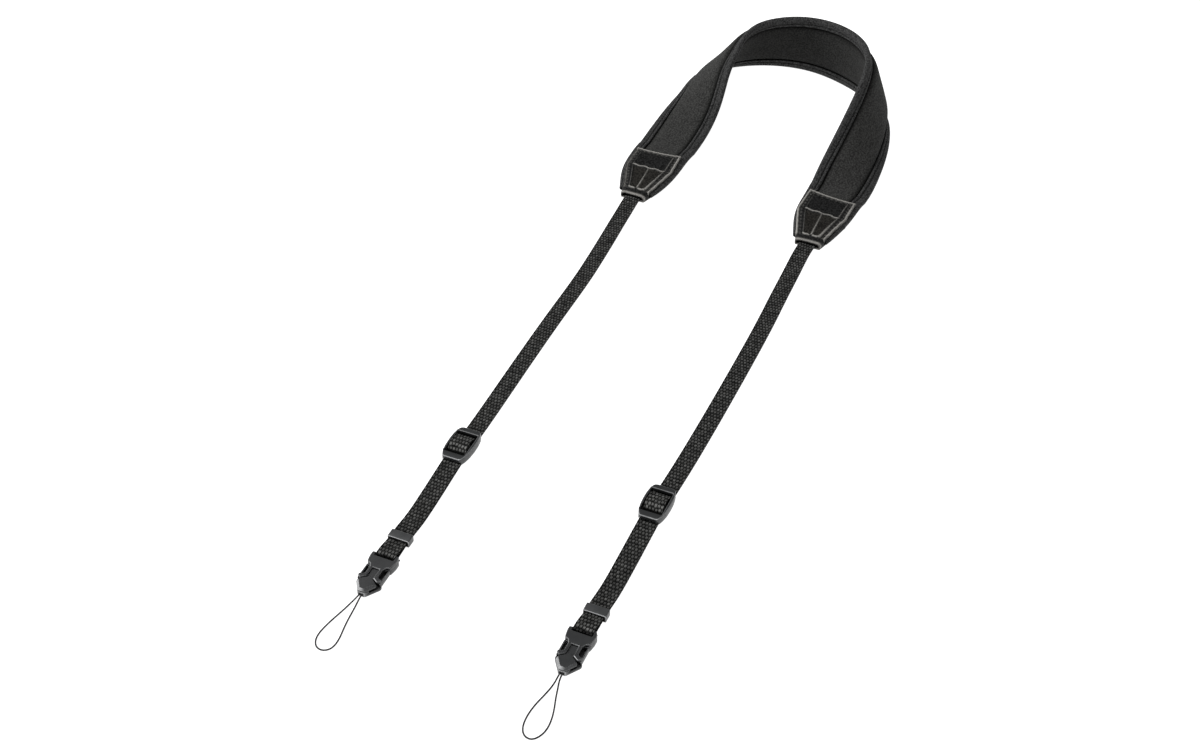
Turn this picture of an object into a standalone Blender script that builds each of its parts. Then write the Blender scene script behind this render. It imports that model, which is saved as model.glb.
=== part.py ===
"""Camera neck strap, lying on a flat surface.

A padded neck band with bound edges, two leather end patches, two narrow webbing straps with
sliders, keepers and quick-release buckles, and a thin cord loop at each end. The scene is in
metres with +Z up, and the sizes below are in millimetres. The surface is at z = 0, the strap
runs along Y with the neck band at +Y, and the origin is on the surface under its middle."""

import bpy
import numpy as np

MM = 0.001
FLAT_ENOUGH = 0.001
SHARP_ANGLE = 35.0

# Neck band: its centre line from the left tip, round the neck, to the right tip. Tilt is the
# angle of the band's width above the surface, 90 where it stands on its outer edge. Thick is
# the panel's thickness, and puff is how much more its outer face swells.
BAND_COLUMNS = ("x", "y", "tilt", "width", "thick", "puff")
BAND_ROWS = (
    (-60.3, 83.5, 0.0, 17.0, 2.0, 0.0),
    (-60.8, 96.0, 0.0, 26.5, 3.6, 0.0),
    (-61.3, 113.0, 0.5, 35.8, 4.6, 0.0),
    (-61.3, 133.0, 2.0, 39.3, 5.0, 0.0),
    (-60.8, 161.0, 5.0, 41.4, 5.6, 0.3),
    (-61.0, 194.0, 18.0, 42.8, 6.0, 0.8),
    (-62.0, 219.0, 35.0, 44.0, 6.0, 1.3),
    (-61.2, 245.0, 44.0, 45.5, 6.0, 2.1),
    (-50.8, 266.0, 62.0, 46.0, 6.0, 3.0),
    (-30.0, 281.5, 75.0, 46.0, 6.0, 2.2),
    (-5.0, 287.0, 83.0, 46.0, 6.0, 1.0),
    (20.2, 281.2, 87.0, 46.0, 6.0, 2.2),
    (41.0, 267.0, 82.0, 46.0, 6.0, 3.0),
    (55.2, 246.0, 69.0, 46.0, 6.0, 2.4),
    (61.2, 222.0, 56.0, 44.2, 6.0, 1.2),
    (63.4, 197.0, 43.0, 42.1, 6.0, 0.8),
    (63.8, 171.0, 28.0, 40.3, 5.8, 0.4),
    (63.1, 147.0, 12.0, 39.1, 5.2, 0.0),
    (62.2, 131.0, 4.0, 37.6, 5.0, 0.0),
    (61.0, 110.0, 1.0, 35.0, 4.6, 0.0),
    (61.1, 92.0, 0.0, 26.0, 3.6, 0.0),
    (61.6, 79.2, 0.0, 17.0, 2.0, 0.0),
)
BORDER = 7.0
BORDER_SHARE = 0.38
BINDING_HALF = 2.1
BINDING_SHARE = 0.95
TONGUE_SHARE = 0.34
BAND_STEP = 8.0
PAD_START = 5.7
GAP = 0.3
# Half of the panel's swell, as shares of the way to its seam and of its height.
PANEL_SWELL = ((0.5, 1.0), (0.82, 0.93), (1.0, 0.68))
# Half of the binding's round edge, as shares of its half thickness: depth from the edge, height.
BINDING_EDGE = ((0.0, 0.0), (0.25, 0.62), (0.8, 0.95))
# Half of the binding's face, as shares of the border's depth and of the half thickness.
BINDING_FACE = ((0.5, 1.0), (1.0, 0.92))
FOLD_WALL = 0.1

# End patches: distance from the tip and half width. The first stretch is the webbing's mouth.
LEATHER = 1.0
PATCH_ROWS = ((0.0, 8.3), (29.0, 16.3), (50.0, 15.7))
PATCH_STATIONS = (0.0, 2.5, 4.9, 5.3, 12.0, 20.0, 29.0, 36.0, 43.0, 50.0)
MOUTH_DEPTH = 5.0
LIFT_FADE = 34.0
# Half of the mouth's arch: the outside's place across and up, then the inside's, as shares of
# the half width and of the height from the bottom edge to the top.
MOUTH_HALF = (
    (1.0, 0.0, 0.87, 0.0),
    (1.0, 0.45, 0.87, 0.4),
    (0.93, 0.78, 0.81, 0.66),
    (0.74, 0.95, 0.66, 0.76),
    (0.36, 1.0, 0.32, 0.79),
)

# Webbing straps: the ribbon's size, and for each side its route as (x, y), where its patch ends,
# and the places of its slider, its keeper and its buckle's bar as (x, y).
WEB_WIDTH = 10.0
WEB_THICK = 1.0
SIDES = {
    "left": {
        "route": (
            (-60.7, 89.0), (-60.5, 72.0), (-59.0, 46.0), (-57.4, 20.0), (-56.3, -5.0),
            (-56.1, -45.0), (-55.7, -85.0), (-54.9, -125.0), (-54.4, -160.0), (-54.2, -185.0),
            (-52.9, -210.0), (-52.1, -235.0), (-51.6, -265.0),
        ),
        "tip": 83.5,
        "slider": (-54.5, -174.0),
        "keeper": (-51.9, -247.2),
        "bar": (-51.7, -260.8),
    },
    "right": {
        "route": (
            (61.4, 85.0), (60.2, 70.0), (60.5, 50.0), (61.1, 25.0), (61.9, 0.0),
            (62.4, -35.0), (62.4, -75.0), (62.1, -110.0), (61.3, -145.0), (60.4, -168.0),
            (60.2, -188.0), (60.6, -212.0), (60.6, -237.0), (60.1, -270.0),
        ),
        "tip": 79.2,
        "slider": (59.9, -172.8),
        "keeper": (60.3, -252.7),
        "bar": (60.0, -265.8),
    },
}

# The webbing's middle line beside each fitting: distance along from the fitting, and height.
WEB_AT_TIP = ((4.6, 1.8), (-2.0, 1.8), (-9.0, 1.2), (-18.0, 0.6))
WEB_AT_SLIDER = (
    (14.0, 0.5), (9.6, 0.65), (7.2, 1.55), (5.0, 3.0), (3.0, 3.65), (0.0, 3.85),
    (-2.5, 3.7), (-4.3, 3.1), (-6.0, 2.45), (-8.6, 1.85), (-12.5, 1.8),
)
WEB_OVER_KEEPER = ((5.0, 2.75), (0.0, 2.8), (-4.0, 2.85))
WEB_TO_BAR = ((5.0, 3.7), (1.6, 4.05))
WEB_FROM_BAR = ((1.6, 0.95), (5.0, 1.05))
WEB_UNDER_KEEPER = ((-4.0, 1.5), (5.0, 1.45))
WEB_END = ((2.0, 0.5),)
WEB_SINGLE = 0.5
WEB_DOUBLE = 1.8
# The turn round the buckle's bar: its middle, its reach past that middle and half its height.
WRAP_MIDDLE = (-0.4, 2.5)
WRAP_REACH = 1.6
WRAP_HALF_HEIGHT = 1.55
WRAP_POINTS = 9

# Slider: half of its barrel-shaped outline from above, as distance along and half width. Its
# layers are inset and height, and its cuts and its centre bar are ranges along and up.
SLIDER_OUTLINE = (
    (12.6, 4.6), (11.9, 6.1), (9.5, 7.0), (5.0, 7.7), (0.0, 7.8),
    (-5.0, 7.5), (-9.0, 6.7), (-11.7, 5.7), (-12.6, 4.8),
)
SLIDER_LAYERS = ((0.25, 0.0), (0.0, 0.4), (0.0, 3.5), (0.35, 4.2), (1.0, 4.5))
SLIDER_LIFT = 0.7
SLIDER_WINDOW_HALF = 5.8
SLIDER_CUTS = {
    "window": ((-8.4, 8.8), (-1.0, 6.0)),
    "front_way": ((-15.0, -7.0), (-1.0, 2.1)),
    "rear_way": ((7.0, 15.0), (-1.0, 0.8)),
}
SLIDER_BAR_HALF = 6.8
SLIDER_BAR = ((-2.0, 2.0), (0.75, 2.2))
CHANNEL_HALF = 5.4

# Keeper band
KEEPER_HALF_WIDTH = 6.2
KEEPER_LENGTH = 5.4
KEEPER_HEIGHT = 4.5
KEEPER_FLOOR = 0.8
KEEPER_ROOF = 3.7
KEEPER_CORNER = 0.7

# Buckle: outlines from above, as distance along from its bar and half width. Its nose is at -Y.
# Layers are inset and height, and cuts and plain blocks are ranges across, along and up.
SOCKET_OUTLINE = (
    (1.6, 5.9), (0.9, 6.9), (-0.8, 7.4), (-4.6, 7.4), (-7.4, 7.0), (-9.1, 6.7),
    (-9.8, 5.0), (-17.6, 5.0),
)
SOCKET_LAYERS = ((0.3, 0.0), (0.0, 0.5), (0.0, 4.3), (0.6, 5.2))
TOP_PLATE_OUTLINE = ((-9.0, 4.9), (-17.0, 5.0), (-19.6, 5.2), (-20.3, 4.9))
TOP_PLATE_LAYERS = ((0.0, 3.9), (0.0, 4.7), (0.4, 5.15))
SOCKET_CUTS = {
    "slot": ((-CHANNEL_HALF, CHANNEL_HALF), (-4.8, 6.0), (-1.0, 7.0)),
    "cavity": ((-4.1, 4.1), (-30.0, -10.6), (1.3, 3.9)),
    "recess": ((-2.0, 2.0), (-30.0, -11.7), (3.4, 7.0)),
}
NOTCH = ((-16.7, 0.05), (-21.6, 6.5), (-30.0, 6.5))
NOTCH_LAYERS = ((0.0, 3.6), (0.0, 7.0))
# The webbing's bar from the side, as (along, height), and half its length.
BAR_PROFILE = ((-0.6, 1.75), (-1.2, 2.5), (-0.6, 3.25), (0.6, 3.25), (1.2, 2.5), (0.6, 1.75))
BAR_HALF_LENGTH = 6.0
NOSE_OUTLINE = ((-18.0, 6.7), (-19.0, 7.0), (-20.2, 7.0), (-26.2, 2.8), (-27.5, 1.9))
NOSE_LAYERS = ((0.3, 0.2), (0.0, 0.7), (0.0, 3.4), (0.1, 3.5))
CAP_FOOT = ((-17.1, 0.05), (-21.0, 5.0), (-21.9, 5.9), (-26.1, 2.7), (-27.2, 1.8))
CAP_TOP = ((-17.3, 0.05), (-20.9, 4.6), (-21.6, 4.7), (-25.7, 2.1), (-26.6, 1.3))
CAP_HEIGHTS = (3.2, 3.9, 5.1)
TONGUE = ((-1.7, 1.7), (-19.0, -12.0), (1.7, 3.4))
PRONGS = {
    "left": ((-6.85, -5.8), (-18.9, -10.1), (1.2, 3.9)),
    "right": ((5.8, 6.85), (-18.9, -10.1), (1.2, 3.9)),
}
CORD_POCKET = ((-1.4, 1.4), (-30.0, -25.4), (0.95, 2.45))

# Cord loops: each route as (x, y, z), from one end in the buckle's nose round to the other.
CORD_DIAMETER = 0.8
CORD_STEP = 2.3
LOOP_ROUTES = {
    "left": (
        (-52.5, -286.8, 1.7), (-52.7, -289.5, 1.6), (-53.8, -293.5, 0.9), (-55.3, -299.5, 0.45),
        (-57.0, -306.5, 0.4), (-58.3, -313.5, 0.4), (-58.5, -318.5, 0.4), (-57.3, -322.5, 0.4),
        (-54.8, -325.0, 0.4), (-51.8, -325.4, 0.4), (-49.0, -323.6, 0.4), (-47.8, -320.0, 0.4),
        (-48.0, -315.5, 0.4), (-49.2, -309.0, 0.4), (-50.2, -302.5, 0.4), (-50.9, -296.0, 0.5),
        (-51.2, -292.3, 1.0), (-51.3, -289.5, 1.6), (-51.3, -286.8, 1.7),
    ),
    "right": (
        (59.3, -291.8, 1.7), (59.2, -294.6, 1.6), (59.0, -298.5, 0.9), (58.1, -304.5, 0.45),
        (56.6, -311.0, 0.4), (55.5, -317.5, 0.4), (55.4, -323.5, 0.4), (56.5, -328.5, 0.4),
        (59.2, -331.8, 0.4), (62.4, -332.2, 0.4), (65.2, -329.5, 0.4), (66.7, -324.5, 0.4),
        (66.4, -318.5, 0.4), (65.0, -312.5, 0.4), (63.1, -306.5, 0.4), (61.6, -301.0, 0.5),
        (60.7, -297.2, 1.0), (60.5, -294.6, 1.6), (60.5, -291.8, 1.7),
    ),
}


def clear_scene():
    for obj in list(bpy.data.objects):
        bpy.data.objects.remove(obj, do_unlink=True)


def plain_material(name, colour, roughness):
    """A Principled material of one colour, given as linear red, green and blue."""
    made = bpy.data.materials.new(name)
    made.use_nodes = True
    shader = made.node_tree.nodes["Principled BSDF"]
    shader.inputs["Base Color"].default_value = (*colour, 1.0)
    shader.inputs["Roughness"].default_value = roughness
    return made


def make_materials():
    return {
        "pad": plain_material("neoprene pad fabric", (0.022, 0.022, 0.022), 0.95),
        "binding": plain_material("knitted binding tape", (0.030, 0.030, 0.031), 0.85),
        "leather": plain_material("black split leather", (0.014, 0.014, 0.014), 0.45),
        "webbing": plain_material("polyester webbing", (0.020, 0.020, 0.020), 0.8),
        "plastic": plain_material("moulded acetal plastic", (0.045, 0.046, 0.047), 0.45),
        "cord": plain_material("braided nylon cord", (0.030, 0.030, 0.030), 0.7),
    }


def add_solid(name, points, faces, material):
    """A mesh object from points in millimetres, shaded smooth but for its sharp edges."""
    mesh = bpy.data.meshes.new(name)
    mesh.from_pydata((np.asarray(points, float) * MM).tolist(), [], faces)
    mesh.update()
    mesh.shade_smooth()
    mesh.set_sharp_from_angle(angle=np.radians(SHARP_ANGLE))
    obj = bpy.data.objects.new(name, mesh)
    if material is not None:
        mesh.materials.append(material)
    bpy.context.scene.collection.objects.link(obj)
    return obj


def tube_faces(points, around):
    """Faces of a closed tube through rings of points, around in each.

    A quad that isn't flat is split along its shorter diagonal, so that surfaces which lie side by
    side are split alike."""
    faces = []
    for start in range(0, len(points) - around, around):
        for k in range(around):
            a, b = start + k, start + (k + 1) % around
            c, d = b + around, a + around
            flat_normal = np.cross(points[b] - points[a], points[d] - points[a])
            warp = np.dot(flat_normal, points[c] - points[a])
            if abs(warp) < FLAT_ENOUGH:
                faces.append((a, b, c, d))
            elif np.linalg.norm(points[a] - points[c]) < np.linalg.norm(points[b] - points[d]):
                faces += [(a, b, c), (a, c, d)]
            else:
                faces += [(a, b, d), (b, c, d)]
    faces.append(tuple(range(around))[::-1])
    faces.append(tuple(range(len(points) - around, len(points))))
    return faces


def carried_solid(name, rings, material=None):
    """A closed solid through rings of points. Its faces are turned outwards by their volume."""
    rings = np.asarray(rings, float)
    points = rings.reshape(-1, 3)
    faces = tube_faces(points, rings.shape[1])
    fans = [(face[0], *face[i:i + 2]) for face in faces for i in range(1, len(face) - 1)]
    corners = points[np.array(fans)]
    if np.linalg.det(corners - points.mean(axis=0)).sum() < 0:
        faces = [face[::-1] for face in faces]
    return add_solid(name, points, faces, material)


class SmoothCurve:
    """A natural cubic spline through rows, over the distance along their first two columns."""

    def __init__(self, rows):
        self.rows = np.array(rows, float)
        self.step = np.linalg.norm(np.diff(self.rows[:, :2], axis=0), axis=1)
        self.at = np.concatenate([[0.0], np.cumsum(self.step)])
        self.length = self.at[-1]
        count = len(self.rows)
        matrix = np.eye(count)
        right = np.zeros_like(self.rows)
        slope = np.diff(self.rows, axis=0) / self.step[:, None]
        for i in range(1, count - 1):
            before, after = self.step[i - 1], self.step[i]
            matrix[i, i - 1:i + 2] = before, 2 * (before + after), after
            right[i] = 6 * (slope[i] - slope[i - 1])
        self.bend = np.linalg.solve(matrix, right)

    def read(self, distance):
        distance = np.asarray(distance, float)
        i = np.clip(np.searchsorted(self.at, distance, side="right") - 1, 0, len(self.step) - 1)
        step = self.step[i][:, None]
        left = ((self.at[i + 1] - distance) / self.step[i])[:, None]
        right = 1 - left
        curved = (left**3 - left) * self.bend[i] + (right**3 - right) * self.bend[i + 1]
        return left * self.rows[i] + right * self.rows[i + 1] + curved * step**2 / 6

    def heading(self, distance):
        """The unit direction along the first two columns."""
        reach = 0.5
        ahead = self.read(np.minimum(np.asarray(distance, float) + reach, self.length))
        behind = self.read(np.maximum(np.asarray(distance, float) - reach, 0.0))
        along = (ahead - behind)[:, :2]
        return along / np.linalg.norm(along, axis=1)[:, None]


def patch_half_width(from_tip):
    rows = np.array(PATCH_ROWS)
    return np.interp(from_tip, rows[:, 0], rows[:, 1])


class Band:
    """The neck band's frame at a distance along its centre line.

    across points from the outer edge to the inner edge, and normal out of the outer face. The
    centre is as high as makes the outer edge, or the patch back under it, rest on the surface."""

    def __init__(self):
        self.curve = SmoothCurve(BAND_ROWS)
        self.length = self.curve.length

    def read(self, distance):
        distance = np.asarray(distance, float)
        row = dict(zip(BAND_COLUMNS, self.curve.read(distance).T))
        tilt = np.radians(row["tilt"])[:, None]
        along = self.curve.heading(distance)
        inward = np.stack([along[:, 1], -along[:, 0], 0 * distance], axis=1)
        up = np.array([0.0, 0.0, 1.0])
        cos, sin = np.cos(tilt), np.sin(tilt)
        half, pad_half = row["width"] / 2, row["thick"] / 2
        binding_half = np.minimum(BINDING_HALF, BINDING_SHARE * pad_half)
        on_edge = binding_half + (half - binding_half) * sin[:, 0]
        on_belly = pad_half * cos[:, 0] + half / 3 * sin[:, 0]
        from_tip = np.minimum(distance, self.length - distance)
        on_patch = (pad_half + GAP + LEATHER) * cos[:, 0] + patch_half_width(from_tip) * sin[:, 0]
        past_patch = np.clip((from_tip - PATCH_ROWS[-1][0]) / LIFT_FADE, 0, 1)
        on_patch = on_patch * (1 - past_patch**2 * (3 - 2 * past_patch))
        height = np.maximum(np.maximum(on_edge, on_belly), on_patch)
        return {
            "centre": np.stack([row["x"], row["y"], height], axis=1),
            "across": inward * cos + up * sin,
            "normal": up * cos - inward * sin,
            "half": half,
            "pad_half": pad_half,
            "pad_top": pad_half + np.maximum(row["puff"], 0),
            "binding_half": binding_half,
            "border": np.minimum(BORDER, BORDER_SHARE * half),
            "from_tip": from_tip,
        }

    def place(self, frame, section):
        """Rings of a section given per frame as (across, normal) pairs in millimetres."""
        return (
            frame["centre"][:, None]
            + section[..., :1] * frame["across"][:, None]
            + section[..., 1:] * frame["normal"][:, None]
        )


def band_stations(band):
    inner = np.linspace(PAD_START, band.length - PAD_START, round(band.length / BAND_STEP))
    return band.read(inner)


def make_neck_pad(band, materials):
    """The padded panel: puffed between its seams, with a thin tongue inside each binding."""
    frame = band_stations(band)
    half, seam = frame["half"], frame["half"] - frame["border"] - GAP
    tongue = TONGUE_SHARE * frame["binding_half"]
    edge = half - frame["binding_half"] - 2 * GAP
    sides = []
    for high in (frame["pad_top"], -frame["pad_half"]):
        thin = np.copysign(tongue, high)
        right = [(across * seam, up * high) for across, up in PANEL_SWELL]
        right += [(seam, thin), (edge, thin)]
        left = [(-across, up) for across, up in reversed(right)]
        sides.append(np.stack([np.stack(p, axis=1) for p in left + [(0 * half, high)] + right], axis=1))
    loop = np.concatenate([sides[0], sides[1][:, ::-1]], axis=1)
    carried_solid("neck_pad", band.place(frame, loop), materials["pad"])


def make_binding(band, name, side, materials):
    """A tape folded over one long edge: a channel, 0 at the edge and its border deep."""
    frame = band_stations(band)
    half, border, high = frame["half"], frame["border"], frame["binding_half"]
    slot = TONGUE_SHARE * high + GAP
    outline = [(deep * high, up * high) for deep, up in BINDING_EDGE]
    outline += [(deep * border, up * high) for deep, up in BINDING_FACE]
    outline += [(border, slot), (high - FOLD_WALL, slot)]
    upper = np.stack([np.stack((side * (half - deep), up), axis=1) for deep, up in outline], axis=1)
    loop = np.concatenate([upper, upper[:, :0:-1] * (1, -1)], axis=1)
    carried_solid(name, band.place(frame, loop), materials["binding"])


def patch_stations(band, side):
    from_tip = np.array(PATCH_STATIONS)
    return band.read(from_tip if side == "left" else band.length - from_tip)


def make_end_patch(band, side, materials):
    """The leather on the outer face. Its last stretch bends down round the webbing as a mouth."""
    frame = patch_stations(band, side)
    half_width = patch_half_width(frame["from_tip"])[:, None]
    base = (frame["pad_half"] + GAP)[:, None]
    half_rows = np.array(MOUTH_HALF)
    shares = np.concatenate([half_rows, half_rows[::-1] * (-1, 1, -1, 1)])
    flat_across = np.linspace(1, -1, len(shares)) * half_width
    bottom, top = -base + GAP, base + LEATHER
    is_mouth = (frame["from_tip"] < MOUTH_DEPTH)[:, None]
    outer = np.stack([
        np.where(is_mouth, shares[:, 0] * half_width, flat_across),
        np.where(is_mouth, bottom + shares[:, 1] * (top - bottom), top + 0 * flat_across),
    ], axis=2)
    inner = np.stack([
        np.where(is_mouth, shares[:, 2] * half_width, flat_across),
        np.where(is_mouth, bottom + shares[:, 3] * (top - bottom), base + 0 * flat_across),
    ], axis=2)
    rings = band.place(frame, np.concatenate([outer, inner[:, ::-1]], axis=1))
    carried_solid(f"end_patch_{side}", rings, materials["leather"])


def make_patch_back(band, side, materials):
    frame = patch_stations(band, side)
    half_width = patch_half_width(frame["from_tip"])
    high = -frame["pad_half"] - GAP
    low = high - LEATHER
    corners = [(half_width, high), (-half_width, high), (-half_width, low), (half_width, low)]
    section = np.stack([np.stack(corner, axis=1) for corner in corners], axis=1)
    carried_solid(f"patch_back_{side}", band.place(frame, section), materials["leather"])


def along_from(rows, y):
    return [(y + along, height) for along, height in rows]


def level_run(start, end, height, count):
    return [(y, height) for y in np.linspace(start, end, count)]


def ribbon_path(places):
    """The webbing's middle line, seen from the side as (y, z), from the patch's mouth to its end.

    It goes under the slider's rear bar, over its centre bar and under its front bar, through the
    keeper, round the buckle's bar, and back below itself to the slider's centre bar."""
    tip, bar = places["tip"], places["bar"][1]
    slider, keeper = places["slider"][1], places["keeper"][1]
    turn = np.radians(np.linspace(90, 270, WRAP_POINTS))
    wrap = np.column_stack([
        bar + WRAP_MIDDLE[0] + WRAP_REACH * np.cos(turn),
        WRAP_MIDDLE[1] + WRAP_HALF_HEIGHT * np.sin(turn),
    ])
    return np.array(
        along_from(WEB_AT_TIP, tip)
        + level_run(tip - 28, slider + 20, WEB_SINGLE, 11)
        + along_from(WEB_AT_SLIDER, slider)
        + level_run(slider - 22, keeper + 13, WEB_DOUBLE, 3)
        + along_from(WEB_OVER_KEEPER, keeper)
        + along_from(WEB_TO_BAR, bar)
        + wrap.tolist()
        + along_from(WEB_FROM_BAR, bar)
        + along_from(WEB_UNDER_KEEPER, keeper)
        + level_run(keeper + 13, slider - 10, WEB_SINGLE, 4)
        + along_from(WEB_END, slider)
    )


def make_webbing(side, materials):
    """A flat ribbon carried along its folded path, and sideways along its route."""
    places = SIDES[side]
    route = SmoothCurve(places["route"])
    dense = np.linspace(0, route.length, 400)
    x_of, y_of = route.read(dense).T
    path = ribbon_path(places)
    distance = np.interp(-path[:, 0], -y_of, dense)
    heading = route.heading(distance)
    x = np.interp(-path[:, 0], -y_of, x_of)
    sideways = np.stack([-heading[:, 1], heading[:, 0], 0 * x], axis=1) * WEB_WIDTH / 2
    run = np.gradient(path, axis=0)
    run /= np.linalg.norm(run, axis=1)[:, None]
    thickness = np.stack([0 * x, run[:, 1], -run[:, 0]], axis=1) * WEB_THICK / 2
    middle = np.stack([x, path[:, 0], path[:, 1]], axis=1)
    corners = [middle + sideways + thickness, middle - sideways + thickness]
    corners += [middle - sideways - thickness, middle + sideways - thickness]
    carried_solid(f"webbing_{side}", np.stack(corners, axis=1), materials["webbing"])


def both_halves(outline):
    """The whole outline as (x, y) points, from (along, half width) rows of one half."""
    right = [(half, along) for along, half in outline]
    return np.array(right + [(-x, y) for x, y in reversed(right)])


def stacked_solid(name, outlines, layers, material=None):
    """A solid through outlines stacked in z. Each layer is how far its outline is inset, and z."""
    rings = []
    for outline, (inset, z) in zip(outlines, layers):
        points = both_halves(outline)
        middle = (points.max(axis=0) + points.min(axis=0)) / 2
        reach = (points.max(axis=0) - points.min(axis=0)) / 2
        points = middle + (points - middle) * (reach - inset) / reach
        rings.append(np.column_stack([points, np.full(len(points), z)]))
    return carried_solid(name, rings, material)


def box_solid(name, x, y, z):
    corners = ((x[0], y[0]), (x[1], y[0]), (x[1], y[1]), (x[0], y[1]))
    return carried_solid(name, [[(*corner, level) for corner in corners] for level in z])


def boolean(target, other, operation):
    """Applies one solid to another and keeps it as a hidden helper that moves with its target."""
    other.parent = target
    other.hide_render = True
    other.display_type = "WIRE"
    modifier = target.modifiers.new(f"{operation.lower()} {other.name}", "BOOLEAN")
    modifier.operation = operation
    modifier.solver = "EXACT"
    modifier.object = other


def place_at(obj, side, station, lift=0.0):
    x, y = SIDES[side][station]
    obj.location = (x * MM, y * MM, lift * MM)


def make_slider(side, materials):
    """A tri-glide: a barrel-shaped frame with a window, a raised rear and front bar, and a
    centre bar that the webbing climbs over."""
    outlines = (SLIDER_OUTLINE,) * len(SLIDER_LAYERS)
    body = stacked_solid(f"slider_{side}", outlines, SLIDER_LAYERS, materials["plastic"])
    wide = (-SLIDER_WINDOW_HALF, SLIDER_WINDOW_HALF)
    for name, (along, height) in SLIDER_CUTS.items():
        boolean(body, box_solid(f"slider_{name}_{side}", wide, along, height), "DIFFERENCE")
    long = (-SLIDER_BAR_HALF, SLIDER_BAR_HALF)
    boolean(body, box_solid(f"slider_centre_bar_{side}", long, *SLIDER_BAR), "UNION")
    place_at(body, side, "slider", SLIDER_LIFT)


def make_keeper(side, materials):
    """A flat-sided band with cut corners and a straight way through it for both webbing layers."""
    half = KEEPER_LENGTH / 2
    side_x, cut_x = KEEPER_HALF_WIDTH, KEEPER_HALF_WIDTH - KEEPER_CORNER
    low_z, high_z = KEEPER_CORNER, KEEPER_HEIGHT - KEEPER_CORNER
    outline = [(cut_x, 0.0), (side_x, low_z), (side_x, high_z), (cut_x, KEEPER_HEIGHT)]
    loop = outline + [(-x, z) for x, z in reversed(outline)]
    rings = [[(x, y, z) for x, z in loop] for y in (-half, half)]
    body = carried_solid(f"keeper_{side}", rings, materials["plastic"])
    across, along = (-CHANNEL_HALF, CHANNEL_HALF), (-KEEPER_LENGTH, KEEPER_LENGTH)
    way = box_solid(f"keeper_way_{side}", across, along, (KEEPER_FLOOR, KEEPER_ROOF))
    boolean(body, way, "DIFFERENCE")
    place_at(body, side, "keeper")


def make_buckle_socket(side, materials):
    """Two arms and a bar for the webbing, and a hollow body whose top plate ends in a notch."""
    outlines = (SOCKET_OUTLINE,) * len(SOCKET_LAYERS)
    body = stacked_solid(f"buckle_socket_{side}", outlines, SOCKET_LAYERS, materials["plastic"])
    outlines = (TOP_PLATE_OUTLINE,) * len(TOP_PLATE_LAYERS)
    plate = stacked_solid(f"socket_top_plate_{side}", outlines, TOP_PLATE_LAYERS)
    boolean(body, plate, "UNION")
    for name, ranges in SOCKET_CUTS.items():
        boolean(body, box_solid(f"socket_{name}_{side}", *ranges), "DIFFERENCE")
    notch = stacked_solid(f"socket_notch_{side}", (NOTCH,) * len(NOTCH_LAYERS), NOTCH_LAYERS)
    boolean(body, notch, "DIFFERENCE")
    bar = [[(x, y, z) for y, z in BAR_PROFILE] for x in (-BAR_HALF_LENGTH, BAR_HALF_LENGTH)]
    boolean(body, carried_solid(f"socket_bar_{side}", bar), "UNION")
    place_at(body, side, "bar")


def make_buckle_insert(side, materials):
    """The nose that holds the cord, with a raised arrow cap, a centre tongue and two prongs."""
    outlines = (NOSE_OUTLINE,) * len(NOSE_LAYERS)
    body = stacked_solid(f"buckle_insert_{side}", outlines, NOSE_LAYERS, materials["plastic"])
    cap_layers = [(0.0, height) for height in CAP_HEIGHTS]
    cap = stacked_solid(f"insert_cap_{side}", (CAP_FOOT, CAP_FOOT, CAP_TOP), cap_layers)
    boolean(body, cap, "UNION")
    boolean(body, box_solid(f"insert_tongue_{side}", *TONGUE), "UNION")
    for name, ranges in PRONGS.items():
        boolean(body, box_solid(f"insert_prong_{name}_{side}", *ranges), "UNION")
    boolean(body, box_solid(f"insert_pocket_{side}", *CORD_POCKET), "DIFFERENCE")
    place_at(body, side, "bar")


def make_cord_loop(side, materials):
    """A round cord as a curve with a bevel, its points read from the route's smooth curve."""
    route = SmoothCurve(LOOP_ROUTES[side])
    points = route.read(np.linspace(0, route.length, round(route.length / CORD_STEP) + 1)) * MM
    curve = bpy.data.curves.new(f"cord_loop_{side}", "CURVE")
    curve.dimensions = "3D"
    curve.bevel_depth = CORD_DIAMETER / 2 * MM
    curve.bevel_resolution = 2
    curve.use_fill_caps = True
    spline = curve.splines.new("POLY")
    spline.points.add(len(points) - 1)
    spline.points.foreach_set("co", np.column_stack([points, np.ones(len(points))]).ravel())
    curve.materials.append(materials["cord"])
    bpy.context.scene.collection.objects.link(bpy.data.objects.new(f"cord_loop_{side}", curve))


def main():
    clear_scene()
    materials = make_materials()
    band = Band()
    make_neck_pad(band, materials)
    make_binding(band, "edge_binding_outer", -1, materials)
    make_binding(band, "edge_binding_inner", 1, materials)
    for side in SIDES:
        make_end_patch(band, side, materials)
        make_patch_back(band, side, materials)
        make_webbing(side, materials)
        make_slider(side, materials)
        make_keeper(side, materials)
        make_buckle_socket(side, materials)
        make_buckle_insert(side, materials)
        make_cord_loop(side, materials)


main()
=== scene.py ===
"""Looks of a camera neck strap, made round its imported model.

Sizes in the tables are in millimetres, in the model's own frame: the strap lies on z = 0 and runs
along Y, with its neck band at +Y. Meshes are written in metres."""

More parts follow.
